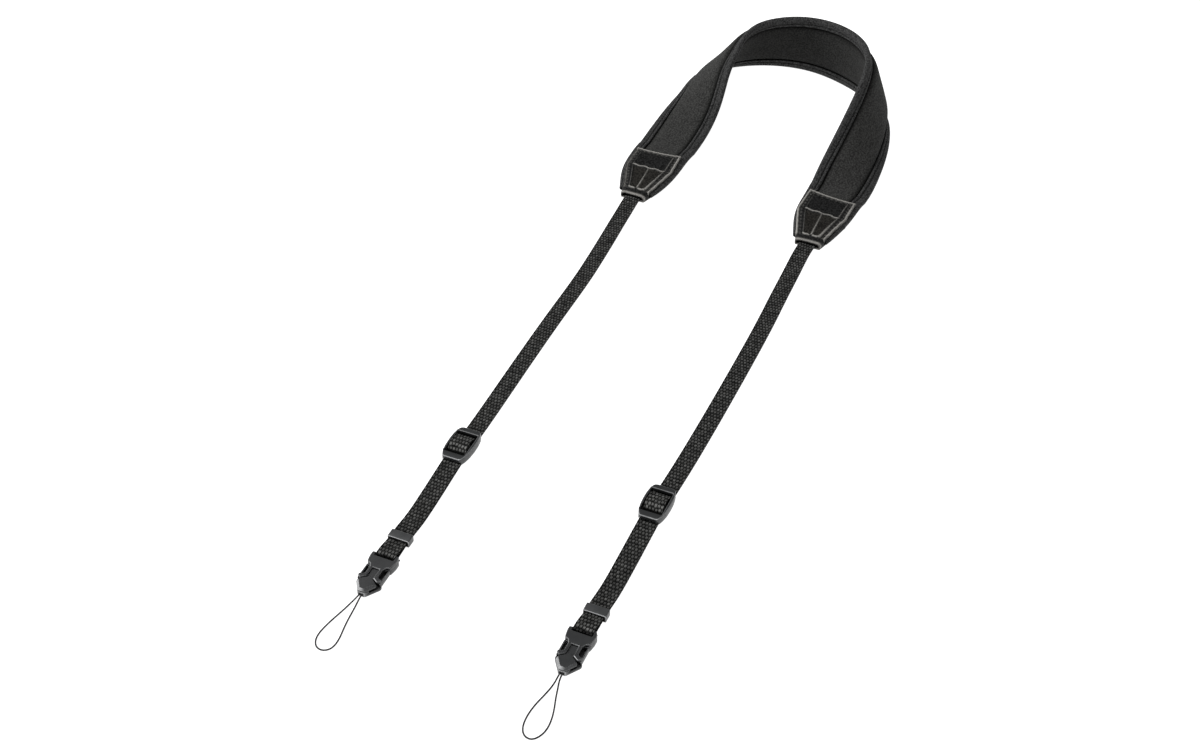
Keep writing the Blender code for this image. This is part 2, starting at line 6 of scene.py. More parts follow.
import bpy
import numpy as np
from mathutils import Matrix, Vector


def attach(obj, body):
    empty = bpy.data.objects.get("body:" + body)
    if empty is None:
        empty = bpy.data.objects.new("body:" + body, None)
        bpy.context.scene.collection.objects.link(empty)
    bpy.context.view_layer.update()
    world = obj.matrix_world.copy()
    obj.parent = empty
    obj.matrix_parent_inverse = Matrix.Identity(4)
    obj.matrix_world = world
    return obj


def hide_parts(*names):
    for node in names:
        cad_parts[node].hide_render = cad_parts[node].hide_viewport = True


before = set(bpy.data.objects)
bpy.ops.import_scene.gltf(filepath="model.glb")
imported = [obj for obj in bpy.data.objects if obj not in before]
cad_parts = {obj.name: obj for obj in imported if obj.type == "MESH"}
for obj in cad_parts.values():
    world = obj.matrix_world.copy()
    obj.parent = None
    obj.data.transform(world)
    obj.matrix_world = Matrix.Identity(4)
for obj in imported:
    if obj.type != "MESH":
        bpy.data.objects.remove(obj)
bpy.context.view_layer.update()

bl_info = {
    "name": "Camera Neck Strap",
    "version": (1, 0, 0),
    "blender": (4, 5, 0),
    "location": "3D View > Sidebar > Neck Strap",
    "description": "Makes the pieces of a padded camera neck strap and the stage that it lies on",
    "category": "Object",
}

MM = 0.001
BODY = "root"
SHARP_ANGLE = 40.0

# Neck band: its centre line from the left tip, round the neck, to the right tip. Tilt is the
# angle of the band's width above the floor, 90 where it stands on its outer edge. Thick is the
# panel's thickness, and puff is how much more its outer face swells.
BAND_COLUMNS = ("x", "y", "tilt", "width", "thick", "puff")
BAND_ROWS = (
    (-61.0, 83.5, 0.0, 19.8, 2.0, 0.0),
    (-60.6, 96.0, 0.0, 28.6, 3.6, 0.0),
    (-61.2, 113.0, 0.5, 36.7, 4.6, 0.0),
    (-61.3, 133.0, 2.0, 39.3, 5.0, 0.0),
    (-60.8, 161.0, 5.0, 41.4, 5.6, 0.3),
    (-61.0, 194.0, 18.0, 42.8, 6.0, 0.5),
    (-62.0, 219.0, 35.0, 44.0, 6.0, 0.9),
    (-61.2, 245.0, 44.0, 45.5, 6.0, 1.5),
    (-50.8, 266.0, 62.0, 46.0, 6.0, 3.1),
    (-30.0, 281.5, 75.0, 46.0, 6.0, 3.2),
    (-5.0, 287.0, 83.0, 46.0, 6.0, 1.0),
    (20.2, 281.2, 87.0, 46.0, 6.0, 2.2),
    (41.0, 267.0, 82.0, 46.0, 6.0, 3.0),
    (55.2, 246.0, 69.0, 46.0, 6.0, 2.4),
    (61.2, 222.0, 56.0, 44.2, 6.0, 1.2),
    (63.4, 197.0, 43.0, 42.1, 6.0, 0.8),
    (63.8, 171.0, 28.0, 40.3, 5.8, 0.4),
    (63.1, 147.0, 12.0, 39.1, 5.2, 0.0),
    (62.2, 131.0, 4.0, 37.6, 5.0, 0.0),
    (61.0, 110.0, 1.0, 35.6, 4.6, 0.0),
    (61.1, 92.0, 0.0, 27.6, 3.6, 0.0),
    (61.0, 79.2, 0.0, 19.2, 2.0, 0.0),
)
# The binding's depth is at most this share of the band's half width.
BORDER_SHARE = 0.38
# The binding's half thickness, and its largest share of the pad's.
BINDING_HALF = 2.1
BINDING_SHARE = 0.95
# The panel's sewn edge inside the binding, as a share of the binding's half thickness.
TONGUE_SHARE = 0.34
# How far from the band's tips the pad starts, and the air between neighbouring pieces.
PAD_START = 5.7
GAP = 0.3

# Pad panel: shares of its height that it has at its seam, gains right behind it and gains over
# its width, and how far back from the seam it rises. Then its columns, the puckers and how fast
# they fade from the seam, the foam's waves and their length, and its lower face's place in UV.
PANEL_RISE = (0.32, 0.59, 0.09)
PANEL_WALL = 1.5
PANEL_COLUMNS = 49
PUCKER_HEIGHT = 0.1
PUCKER_FADE = 1.6
FOAM_WAVE = (0.12, 24.0)
LINING_V = 60.0

# Binding tape: depths in from the band's edge of its mesh, then how deep its round edge rolls and
# that superellipse's power, and its sewn groove, low ridge and fold as a depth and a width.
BINDING_DEPTHS = (
    0.0, 0.05, 0.18, 0.4, 0.7, 1.05, 1.45, 1.9, 2.4, 3.0, 3.5, 3.9, 4.15, 4.35, 4.6, 4.85, 5.05,
    5.3, 5.65, 6.0, 6.3, 6.55, 6.75, 6.9, 6.98, 7.0,
)
ROLL_DEPTH = 2.3
ROLL_POWER = 2.3
GROOVE = (4.6, 0.42)
RIDGE = (5.7, 0.55)
FOLD = (7.0, 0.65)

# Stitches: places along one from end to end, how thick it is there, and how far its ends dip, as
# shares of its half length and its radius. Then how much of the pitch a stitch fills on the
# binding and on the patches, and the pitch of the dips that the needle leaves in a patch.
STITCH_AT = np.array([-1.0, -0.86, -0.45, 0.0, 0.45, 0.86, 1.0])
STITCH_FAT = np.array([0.55, 0.85, 1.0, 1.0, 1.0, 0.85, 0.55])
STITCH_DIP = 1.76
STITCH_SHARE = 0.8
PATCH_STITCH_SHARE = 0.72
NEEDLE_PITCH = 3.2

# End patch: the leather's thickness, rows of distance from the tip and half width, and how far its
# top edge sags and from how far up.
LEATHER = 1.0
PATCH_ROWS = ((0.0, 8.3), (29.0, 16.5), (49.4, 16.1))
PATCH_END = PATCH_ROWS[-1][0]
PATCH_SAG = (1.2, 33.0)
# The band comes down from the patch's back within this distance.
LIFT_FADE = 34.0
# The patch's mesh: points across, the step along, and finer places along near its tip.
PATCH_COUNT = 129
PATCH_STEP = 0.3
PATCH_FINE = (
    0.0, 0.08, 0.2, 0.4, 0.7, 1.0, 1.3, 1.6, 2.0, 2.5, 3.0, 3.6, 4.1, 4.4, 4.65, 4.9, 5.15, 5.4, 5.6,
)
# The webbing's mouth: where its arch ends, and its superellipse's power.
MOUTH_FADE = (4.5, 5.5)
MOUTH_POWER = 4.5
# How far the sewn channel is in from the outline, and how far from the tip its stitches start.
STITCH_INSET = 2.4
STITCH_START = 7.5
# The side across whose rim and ridges get a painted highlight on top of their rub, as if lit from
# there, and how much painted highlight the other side's rim loses, a value below 0 making it gain.
BRIGHT_SIDE = {"left": 1, "right": -1}
DIM_RIM = {"left": 1.0, "right": -0.3}
# The sunken panels' outer side, from its top to its foot, as (across, from tip) points.
SUNKEN_TOP, SUNKEN_FOOT = (10.9, 28.3), (5.4, 6.8)
# Pressed lines: start and end as (across, from tip), half width at both, height, and how much rub with
# painted highlight they get at both. Across is positive towards the side that gets the painted
# highlight.
PATCH_LINES = (
    ((-11.3, 30.2), (11.2, 28.6), 0.52, 0.5, 0.42, 1.25, 1.15),
    ((11.4, 30.2), (11.6, 46.8), 0.4, 0.4, 0.25, 0.45, 0.35),
    ((-11.5, 30.4), (-11.7, 46.0), 0.3, 0.3, 0.15, 0.12, 0.12),
    ((0.2, 28.6), (0.0, 7.4), 0.42, 0.55, 0.36, 0.45, 0.85),
    ((-10.9, 28.3), (-5.3, 6.8), 0.4, 0.4, 0.3, 0.12, 0.3),
    ((10.9, 27.6), (5.4, 6.8), 0.4, 1.0, 0.34, 0.4, 0.9),
    ((-5.2, 6.5), (-1.5, 6.3), 0.65, 0.65, 0.4, 1.4, 1.3),
    ((1.3, 6.3), (5.2, 6.6), 0.65, 0.65, 0.4, 1.3, 1.4),
)
# The plain back's length.
BACK_LENGTH = 50.0

# Webbing: the ribbon's size, and each side's route as (x, y) and places of its fittings.
WEB_WIDTH = 10.8
WEB_THICK = 1.2
SIDES = {
    "left": {
        "route": (
            (-60.7, 89.0), (-60.5, 72.0), (-59.0, 46.0), (-57.4, 20.0), (-56.3, -5.0),
            (-56.1, -45.0), (-55.7, -85.0), (-54.9, -125.0), (-54.4, -160.0), (-54.2, -185.0),
            (-52.9, -210.0), (-52.3, -235.0), (-52.3, -265.0),
        ),
        "tip": 83.5,
        "slider": (-54.5, -174.0),
        "keeper": (-51.9, -247.2),
        "bar": (-51.7, -260.8),
    },
    "right": {
        "route": (
            (61.4, 85.0), (60.2, 70.0), (60.5, 50.0), (61.1, 25.0), (61.9, 0.0),
            (62.4, -35.0), (62.4, -75.0), (62.1, -110.0), (61.3, -145.0), (60.4, -168.0),
            (60.2, -188.0), (60.6, -212.0), (60.5, -237.0), (59.3, -270.0),
        ),
        "tip": 79.2,
        "slider": (59.9, -172.8),
        "keeper": (60.3, -252.7),
        "bar": (60.0, -265.8),
    },
}
# The webbing's middle line beside each fitting: distance along from the fitting, and height.
WEB_AT_TIP = ((4.6, 1.8), (-2.0, 1.8), (-9.0, 1.2), (-18.0, 0.6))
WEB_AT_SLIDER = (
    (14.0, 0.6), (10.5, 0.66), (9.0, 1.0), (7.9, 2.2), (6.6, 3.9), (4.7, 5.1), (1.8, 5.5),
    (-1.2, 5.45), (-3.0, 5.0), (-4.3, 3.95), (-5.2, 2.8), (-6.8, 2.05), (-10.0, 1.9), (-13.0, 1.9),
)
WEB_OVER_KEEPER = ((5.0, 2.75), (0.0, 2.8), (-4.0, 2.85))
WEB_TO_BAR = ((5.0, 3.7), (1.6, 4.05))
WEB_FROM_BAR = ((1.6, 0.95), (5.0, 1.05))
WEB_UNDER_KEEPER = ((-4.0, 1.5), (5.0, 1.45))
WEB_END = (
    (-3.5, 0.6), (-1.0, 0.6), (1.4, 0.72), (2.6, 1.3), (2.85, 2.2), (2.3, 3.1), (1.0, 3.6),
    (-0.5, 3.65), (-1.8, 3.6),
)
# Heights of a single layer and of the upper one of two, and the ellipse round the buckle's bar.
WEB_SINGLE = 0.6
WEB_DOUBLE = 1.9
WRAP_MIDDLE = (-0.4, 2.5)
WRAP_REACH = 1.6
WRAP_HALF_HEIGHT = 1.55
# Weave: how deep it dips, the selvedge that is less deep, and the lower face's place in UV.
WEAVE_DEPTH = 0.46
SELVEDGE = (0.9, 0.5)
LOWER_FACE_V = 12.0

# Slider: half of its outline from above, as distance along and half width, then its hole.
SLIDER_OUTLINE = (
    (12.6, 4.6), (11.9, 6.1), (9.5, 7.0), (5.0, 7.7), (0.0, 7.8),
    (-5.0, 7.5), (-9.0, 6.7), (-11.7, 5.7), (-12.6, 4.8),
)
SLIDER_HOLE = ((6.0, 8.8), (6.0, -8.4), (-6.4, -8.4), (-6.4, 8.8))
# How far it stands off the floor, its height over that, and its centre bar's ranges along and up,
# reach across and rounding.
SLIDER_LIFT = 0.7
SLIDER_TOP = 4.5
SLIDER_BAR = ((-2.0, 2.0), (0.75, 2.2), 6.6, 0.5)
# The narrow ledges under its sides and the thin sole under its back, from above.
SLIDER_LEDGE = ((6.4, 9.2), (6.4, -8.6), (5.5, -8.6), (5.5, 9.2))
SLIDER_SOLE = ((5.8, 9.4), (5.8, 2.7), (-5.8, 2.7), (-5.8, 9.4))
# Half width of the webbing's way under the end bars, whose undersides are at these heights.
CHANNEL_HALF = 5.7
CHANNEL_TOP = {"back": 0.8, "front": 2.1}
# Points that the ring's outside and inside both pass, a half turn of them, and steps between.
OUTER_MARKS = (
    (5.8, 12.6), (7.4, 7.2), (7.6, -6.8), (5.8, -12.6), (5.7, -12.6), (-5.7, -12.6),
)
INNER_MARKS = ((5.8, 8.8), (6.0, 7.2), (6.0, -6.8), (5.8, -8.4), (5.7, -8.4), (-5.7, -8.4))
MARK_STEPS = (12, 14, 12, 1, 20, 1) * 2

# Keeper: corners of its loop from the front, outside and inside, and its half length.
KEEPER_OUTER = ((6.25, 0.0), (6.25, 4.5), (-6.25, 4.5), (-6.25, 0.0))
KEEPER_INNER = ((5.55, 0.8), (5.55, 3.6), (-5.55, 3.6), (-5.55, 0.8))
KEEPER_HALF = 2.7

# Buckle: outlines from above, as (across, along) of the right half, from its bar to its nose. A
# third number is the share of the rounding that a narrow corner takes.
SOCKET_TOP = (
    (5.6, -4.0, 0.6), (5.6, -0.5, 0.3), (6.0, -0.5, 0.3), (6.9, -1.0, 0.6), (7.4, -2.2, 1),
    (7.4, -4.8, 1), (7.0, -7.4, 1), (6.6, -9.0, 1), (4.7, -9.7, 1), (3.7, -11.6, 1),
    (3.7, -16.2, 1), (5.0, -17.3, 1), (6.4, -17.4, 1), (6.5, -18.8, 1), (4.7, -19.8, 0.7),
    (1.95, -18.1, 1), (1.95, -11.7, 1),
)
SOCKET_BASE = (
    (5.6, -4.4), (5.6, -0.4), (6.0, -0.5), (6.9, -1.0), (7.4, -2.2), (7.4, -4.8), (7.0, -7.4),
    (6.6, -9.2), (5.0, -9.9), (3.4, -10.8), (3.4, -17.5),
)
SOCKET_FLOOR = ((6.2, -9.0), (6.2, -18.5))
SOCKET_SOLE = ((6.0, 1.8), (6.0, -5.0))
# Its bar's ranges along and up, reach across and rounding.
SOCKET_BAR = ((-1.1, 1.1), (1.75, 3.25), 5.8, 0.5)
# Its left arm's top ends sooner, under the webbing's edge.
LEFT_ARM_END = -1.9
NOSE = ((6.5, -18.2), (7.0, -19.2), (6.9, -20.4), (2.9, -26.0), (2.1, -27.1))
CAP_FOOT = ((0.3, -17.25), (4.7, -20.35), (5.6, -21.9), (2.7, -26.1), (1.9, -27.2))
CAP_TOP = ((0.3, -17.6), (4.1, -20.4), (4.6, -21.5), (2.0, -25.3), (1.3, -26.2))
# The arrow cap's layers: its outline, inset, height, and how strong its painted highlight is there.
CAP_LAYERS = (
    (CAP_FOOT, 0.35, 3.3, 0.0), (CAP_FOOT, 0.0, 3.5, 0.0), (CAP_FOOT, 0.0, 3.85, 0.3),
    (CAP_FOOT, 0.0, 4.0, 0.8), (CAP_FOOT, 0.05, 4.15, 1.2), (CAP_TOP, 0.0, 5.0, 1.2),
    (CAP_TOP, 0.05, 5.07, 0.8), (CAP_TOP, 0.15, 5.12, 0.2), (CAP_TOP, 0.2, 5.12, 0.0),
)
PRONG = ((5.85, -9.5), (6.6, -9.5), (6.6, -19.4), (5.85, -19.4))
TONGUE = ((1.8, -11.9), (1.8, -18.3))
# The cord's hole in the nose, and the nose's tip round it: along, half width, rim and painted
# highlight.
CORD_HOLE = ((1.35, 0.95), (1.35, 2.45), (-1.35, 2.45), (-1.35, 0.95))
CORD_HOLE_AT = (-27.5, -27.0, -25.6)
MOUTH_RINGS = (
    (-25.0, 3.3, 0.0, 0.0), (-26.2, 2.75, 0.0, 0.0), (-27.1, 2.3, 0.0, 0.3),
    (-27.45, 2.0, 0.12, 0.9), (-27.5, 1.8, 0.35, 0.6),
)
MOUTH_HEIGHTS = (0.2, 3.45)

# Cord loops: each route as (x, y, z), from one end in the buckle's nose round to the other.
LOOP_ROUTES = {
    "left": (
        (-52.5, -286.8, 1.7), (-52.7, -289.5, 1.6), (-53.8, -293.5, 0.9), (-55.3, -299.5, 0.45),
        (-57.0, -306.5, 0.4), (-58.3, -313.5, 0.4), (-58.5, -318.5, 0.4), (-57.3, -322.5, 0.4),
        (-54.8, -325.0, 0.4), (-51.8, -325.4, 0.4), (-49.0, -323.6, 0.4), (-47.8, -320.0, 0.4),
        (-48.0, -315.5, 0.4), (-49.2, -309.0, 0.4), (-50.2, -302.5, 0.4), (-50.9, -296.0, 0.5),
        (-51.2, -292.3, 1.0), (-51.3, -289.5, 1.6), (-51.3, -286.8, 1.7),
    ),
    "right": (
        (59.3, -291.8, 1.7), (59.2, -294.6, 1.6), (59.0, -298.5, 0.9), (58.1, -304.5, 0.45),
        (56.6, -311.0, 0.4), (55.5, -317.5, 0.4), (55.4, -323.5, 0.4), (56.5, -328.5, 0.4),
        (59.2, -331.8, 0.4), (62.4, -332.2, 0.4), (65.2, -329.5, 0.4), (66.7, -324.5, 0.4),
        (66.4, -318.5, 0.4), (65.0, -312.5, 0.4), (63.1, -306.5, 0.4), (61.6, -301.0, 0.5),
        (60.7, -297.2, 1.0), (60.5, -294.6, 1.6), (60.5, -291.8, 1.7),
    ),
}
# One turn of the braid along the cord, its step along the mesh, and its strands' relief.
BRAID_LAY = 1.9
BRAID_STEP = 0.22
BRAID_RELIEF = 0.08

# The photograph's view, in metres and millimetres of lens, and the floor's reach in metres.
CAMERA_AT = (0.2679, -0.7257, 0.6036)
CAMERA_AIM = (-0.009, -0.089, 0.0)
CAMERA_LENS = 48.0
CAMERA_SENSOR = 36.0
FLOOR_REACH = 5.0
# Softboxes: name, place, what they aim at, width and depth in metres, and power in watts.
LIGHTS = (
    ("left", (-1.25, 0.1, 1.0), (0.0, 0.0, 0.0), 0.6, 0.6, 22.0),
    ("overhead strip", (0.0, -0.15, 1.3), (0.0, 0.0, 0.0), 1.6, 0.22, 8.0),
    ("right", (1.3, 0.3, 0.8), (0.0, 0.0, 0.0), 0.5, 0.5, 3.0),
    ("front", (-0.55, -1.25, 0.5), (0.0, -0.1, 0.0), 0.3, 0.3, 4.0),
)
# Strengths of the even white world and of the floor's own light.
WORLD_LIGHT = 0.14
FLOOR_LIGHT = 0.95


def linear(hex_text):
    """The linear red, green and blue of an sRGB colour written as #rrggbb."""
    value = np.array([int(hex_text[i:i + 2], 16) for i in (1, 3, 5)]) / 255
    return tuple(np.where(value <= 0.04045, value / 12.92, ((value + 0.055) / 1.055) ** 2.4))


def size(name, about, default):
    """A length in metres that the panel shows."""
    return bpy.props.FloatProperty(
        name=name, description=about, default=default, unit="LENGTH", min=0.0, precision=5
    )


def colour(name, about, hex_text):
    """A colour that the panel shows."""
    return bpy.props.FloatVectorProperty(
        name=name, description=about, default=linear(hex_text), subtype="COLOR", min=0.0, max=1.0
    )


class StrapSizes(bpy.types.PropertyGroup):
    """Sizes of the strap's cloth, thread and cord."""

    binding_depth: size("Binding depth", "How far the binding reaches in from the band's edge", 0.007)
    stitch_pitch: size("Stitch pitch", "From one stitch of the binding to the next", 0.003)
    patch_stitch_pitch: size("Patch stitch pitch", "From one stitch of a patch to the next", 0.0032)
    thread: size("Thread", "Thickness of the sewing thread", 0.00042)
    knit_pitch: size("Knit pitch", "Width of one rib of the pad's jersey", 0.001)
    leather_grain: size("Leather grain", "Width of one grain of the leather's coating", 0.0007)
    yarn_pitch: size("Yarn pitch", "Width of one pair of the webbing's warp yarns", WEB_WIDTH / 6 * MM)
    yarn_float: size("Yarn float", "From one crown of a warp yarn to its next one", 0.00493)
    cord: size("Cord", "Diameter of the cord of the loops", 0.0008)


class StrapColours(bpy.types.PropertyGroup):
    """Colours of the strap's materials and of the floor."""

    jersey: colour("Jersey", "The pad's jersey", "#2b2b2a")
    tape: colour("Binding tape", "The knitted binding tape", "#2f2f2f")
    thread: colour("Thread", "The sewing thread", "#0c0c0c")
    leather: colour("Leather", "The coated leather of the end patches", "#0b0b0b")
    rubbed_and_lit: colour("Rubbed leather", "The leather's rubbed edges and ridges", "#868480")
    glazed: colour("Glazed leather", "The glossy pressed panels of the leather", "#191816")
    # The webbing's black shows as painted shade between the yarns, and the next colour is the painted
    # highlight on their crowns.
    webbing: colour("Webbing", "The webbing between its yarns", "#030303")
    yarn_highlight: colour("Yarn", "The crowns of the webbing's yarns", "#7a7a78")
    plastic: colour("Plastic", "The moulded sliders, keepers and buckles", "#262728")
    # The painted highlight's light grey on the plastic's rims.
    edge_highlight: colour("Polished plastic", "The plastic's edges, polished by handling", "#b4b5b6")
    cord: colour("Cord", "The braided cord of the loops", "#2a2a2a")
    floor: colour("Floor", "The plain floor", "#b8b8b8")


def mm(length):
    """Millimetres of a length in metres."""
    return length / MM


def smooth_step(value, start, end):
    """0 before start, 1 after end, and an S curve between them."""
    share = np.clip((value - start) / (end - start), 0, 1)
    return share**2 * (3 - 2 * share)


def hump(distance, width):
    """1 at distance 0, falling as a bell curve of that half width."""
    return np.exp(-(distance / width) ** 2)


def quarter_round(distance, radius):
    """How far a quarter round of that radius has dropped at a distance from its rim, from 1 at the
    rim to 0 at the radius: 1 less the height of a circle."""
    return 1 - np.sqrt(np.clip(1 - np.clip(1 - distance / radius, 0, 1) ** 2, 0, 1))


def slow_waves(u, v, scale, seed):
    """A smooth irregular field of about -1 to 1: the sum of six sine waves in directions, pitches
    and phases that a seed draws, over 3."""
    rng = np.random.default_rng(seed)
    field = 0
    for _ in range(6):
        turn, phase = rng.uniform(0, 2 * np.pi, 2)
        pitch = scale * rng.uniform(0.6, 1.6)
        field = field + np.sin((u * np.cos(turn) + v * np.sin(turn)) * 2 * np.pi / pitch + phase)
    return field / 3


def stations_along(start, end, pitch):
    """Even places from start to end, about a pitch apart."""
    return np.linspace(start, end, max(2, int(round((end - start) / pitch)) + 1))


class SmoothCurve:
    """A natural cubic spline through rows, over the distance along their first columns."""

    def __init__(self, rows, measured=2):
        self.rows = np.array(rows, float)
        self.measured = measured
        self.step = np.linalg.norm(np.diff(self.rows[:, :measured], axis=0), axis=1)
        self.at = np.concatenate([[0.0], np.cumsum(self.step)])
        self.length = self.at[-1]
        count = len(self.rows)
        matrix = np.eye(count)
        right = np.zeros_like(self.rows)
        slope = np.diff(self.rows, axis=0) / self.step[:, None]
        inner = np.arange(1, count - 1)
        matrix[inner, inner - 1] = self.step[:-1]
        matrix[inner, inner] = 2 * (self.step[:-1] + self.step[1:])
        matrix[inner, inner + 1] = self.step[1:]
        right[1:-1] = 6 * np.diff(slope, axis=0)
        self.bend = np.linalg.solve(matrix, right)

    def read(self, distance):
        """All columns at distances along: each span is a cubic between its two rows."""
        distance = np.asarray(distance, float)
        i = np.clip(np.searchsorted(self.at, distance, side="right") - 1, 0, len(self.step) - 1)
        step = self.step[i][:, None]
        left = ((self.at[i + 1] - distance) / self.step[i])[:, None]
        right = 1 - left
        curved = (left**3 - left) * self.bend[i] + (right**3 - right) * self.bend[i + 1]
        return left * self.rows[i] + right * self.rows[i + 1] + curved * step**2 / 6

    def heading(self, distance, reach=0.5):
        """The unit direction along the measured columns, from just behind to just ahead."""
        ahead = self.read(np.minimum(np.asarray(distance, float) + reach, self.length))
        behind = self.read(np.maximum(np.asarray(distance, float) - reach, 0.0))
        along = (ahead - behind)[:, :self.measured]
        return along / np.linalg.norm(along, axis=1)[:, None]


def patch_half_width(from_tip):
    """The end patch's half width at a distance from its tip, by straight lines between rows."""
    rows = np.array(PATCH_ROWS)
    return np.interp(from_tip, rows[:, 0], rows[:, 1])


class Band:
    """The neck band's frame at a distance along its centre line.

    across points from the outer edge to the inner edge, and normal out of the outer face. The
    centre is as high as makes the outer edge, or the patch back under it, rest on the floor."""

    def __init__(self, border):
        self.curve = SmoothCurve(BAND_ROWS)
        self.length = self.curve.length
        self.border = border

    def read(self, distance):
        """The frame and the sizes of the section at distances from the left tip."""
        distance = np.asarray(distance, float)
        row = dict(zip(BAND_COLUMNS, self.curve.read(distance).T))
        tilt = np.radians(row["tilt"])[:, None]
        along = self.curve.heading(distance)
        inward = np.stack([along[:, 1], -along[:, 0], 0 * distance], axis=1)
        up = np.array([0.0, 0.0, 1.0])
        cos, sin = np.cos(tilt), np.sin(tilt)
        half, pad_half = row["width"] / 2, row["thick"] / 2
        binding_half = np.minimum(BINDING_HALF, BINDING_SHARE * pad_half)
        on_edge = binding_half + (half - binding_half) * sin[:, 0]
        on_belly = pad_half * cos[:, 0] + half / 3 * sin[:, 0]
        from_tip = np.minimum(distance, self.length - distance)
        on_patch = (pad_half + GAP + LEATHER) * cos[:, 0] + patch_half_width(from_tip) * sin[:, 0]
        on_patch = on_patch * (1 - smooth_step(from_tip, PATCH_END, PATCH_END + LIFT_FADE))
        height = np.maximum(np.maximum(on_edge, on_belly), on_patch)
        return {
            "distance": distance,
            "centre": np.stack([row["x"], row["y"], height], axis=1),
            "across": inward * cos + up * sin,
            "normal": up * cos - inward * sin,
            "along": np.stack([along[:, 0], along[:, 1], 0 * distance], axis=1),
            "half": half,
            "pad_half": pad_half,
            "pad_top": pad_half + np.maximum(row["puff"], 0),
            "binding_half": binding_half,
            "border": np.minimum(self.border, BORDER_SHARE * half),
        }

    def from_tip(self, side, distance):
        """The same at distances from that side's tip, with forward pointing away from the tip."""
        at = self.read(distance if side == "left" else self.length - distance)
        return {**at, "forward": at["along"] if side == "left" else -at["along"]}


def placed(at, section):
    """Points of sections given per station of a band as (across, normal) pairs."""
    return (
        at["centre"][:, None]
        + section[..., :1] * at["across"][:, None]
        + section[..., 1:] * at["normal"][:, None]
    )


def shell(points, uv=None, wrap_rows=False, **marks):
    """A closed surface over a grid of points, rows by columns, in millimetres.

    Columns wrap round. Rows that don't wrap end in a cap each. uv is in metres and has one more
    row or column than the points where they wrap. marks are values per point for the material.
    The surface is turned so that its volume is positive."""
    rows, columns = points.shape[:2]
    r = np.arange(rows if wrap_rows else rows - 1)[:, None]
    c = np.arange(columns)[None]
    next_r, next_c = (r + 1) % rows, (c + 1) % columns
    corners = [r * columns + c, r * columns + next_c, next_r * columns + next_c, next_r * columns + c]
    faces = [np.stack(corners, axis=-1).reshape(-1, 4)]
    if uv is None:
        uv = np.zeros((rows + 1, columns + 1, 2))
    corner_uv = [uv[r, c], uv[r, c + 1], uv[r + 1, c + 1], uv[r + 1, c]]
    face_uv = [np.stack(corner_uv, axis=2).reshape(-1, 4, 2)]
    if not wrap_rows:
        ring = np.arange(columns)
        faces += [ring[::-1][None], (ring + (rows - 1) * columns)[None]]
        face_uv += [uv[0, ring[::-1]][None], uv[rows - 1, ring][None]]
    flat = points.reshape(-1, 3)
    volume = 0.0
    for group in faces:
        a = flat[group[:, :1]] - flat[0]
        b, d = flat[group[:, 1:-1]] - flat[0], flat[group[:, 2:]] - flat[0]
        volume += (a * np.cross(b, d)).sum()
    if volume < 0:
        faces = [group[:, ::-1] for group in faces]
        face_uv = [group[:, ::-1] for group in face_uv]
    marks = {name: np.broadcast_to(value, (rows, columns)).ravel() for name, value in marks.items()}
    return {"points": flat, "faces": faces, "uv": face_uv, "marks": marks}


def shifted(part, x, y, z=0.0):
    """The same surface, moved."""
    return {**part, "points": part["points"] + (x, y, z)}


def add_piece(name, parts, material, replaces=()):
    """One mesh object of closed surfaces, at the origin, riding on the strap's body."""
    points = np.concatenate([part["points"] for part in parts]) * MM
    starts = np.cumsum([0] + [len(part["points"]) for part in parts])
    corners, totals, uvs = [], [], []
    for part, start in zip(parts, starts):
        for group, group_uv in zip(part["faces"], part["uv"]):
            corners.append((group + start).ravel())
            totals.append(np.full(len(group), group.shape[1]))
            uvs.append(group_uv.reshape(-1, 2))
    corners, totals = np.concatenate(corners), np.concatenate(totals)
    mesh = bpy.data.meshes.new(name)
    mesh.vertices.add(len(points))
    mesh.vertices.foreach_set("co", points.ravel())
    mesh.loops.add(len(corners))
    mesh.loops.foreach_set("vertex_index", corners.astype(np.int32))
    mesh.polygons.add(len(totals))
    mesh.polygons.foreach_set("loop_start", (np.cumsum(totals) - totals).astype(np.int32))
    mesh.update(calc_edges=True)
    mesh.uv_layers.new(name="UVMap").uv.foreach_set("vector", np.concatenate(uvs).ravel())
    for mark in sorted({key for part in parts for key in part["marks"]}):
        values = [part["marks"].get(mark, np.zeros(len(part["points"]))) for part in parts]
        attribute = mesh.attributes.new(mark, "FLOAT", "POINT")
        attribute.data.foreach_set("value", np.concatenate(values).astype(np.float32))
    mesh.shade_smooth()
    mesh.set_sharp_from_angle(angle=np.radians(SHARP_ANGLE))
    mesh.materials.append(material)
    obj = bpy.data.objects.new(name, mesh)
    bpy.context.scene.collection.objects.link(obj)
    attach(obj, BODY)
    if replaces:
        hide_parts(*replaces)
    return obj


def feed(tree, node, inputs):
    """Gives a node its inputs: a link where the value is a socket, and else that value."""
    for key, value in inputs.items():
        if isinstance(value, bpy.types.NodeSocket):
            tree.links.new(value, node.inputs[key])
        else:
            node.inputs[key].default_value = value


def add_node(tree, kind, inputs, output=0, **settings):
    """Adds one node with its settings and inputs, and gives the output that is wanted of it."""
    node = tree.nodes.new("ShaderNode" + kind)
    for key, value in settings.items():
        setattr(node, key, value)
    feed(tree, node, inputs)
    return node.outputs[output]


def tint(rgb, share=1.0):
    """A colour times a share, as far as white, with its alpha."""
    return (*(min(1.0, channel * share) for channel in rgb), 1.0)


# Patterns, in metres. A wave texture of scale 1 repeats every pi / 10 metres, and noise of scale 1
# has a grain of a metre. Knits and weaves are drawn about twice as coarse as real ones, and the
# plastic's grit five times, or they would be finer than the render's pixels.
ONE_WAVE = np.pi / 10
FUZZ_GRAIN = 0.0012
DUST_GRAIN = 0.001
TAPE_RIB = 0.0013
THREAD_TWIST = 0.0004
FIBRE = (0.002, 0.0002)
GRIT_GRAIN = 0.00025
BLACK = (0.0, 0.0, 0.0, 1.0)


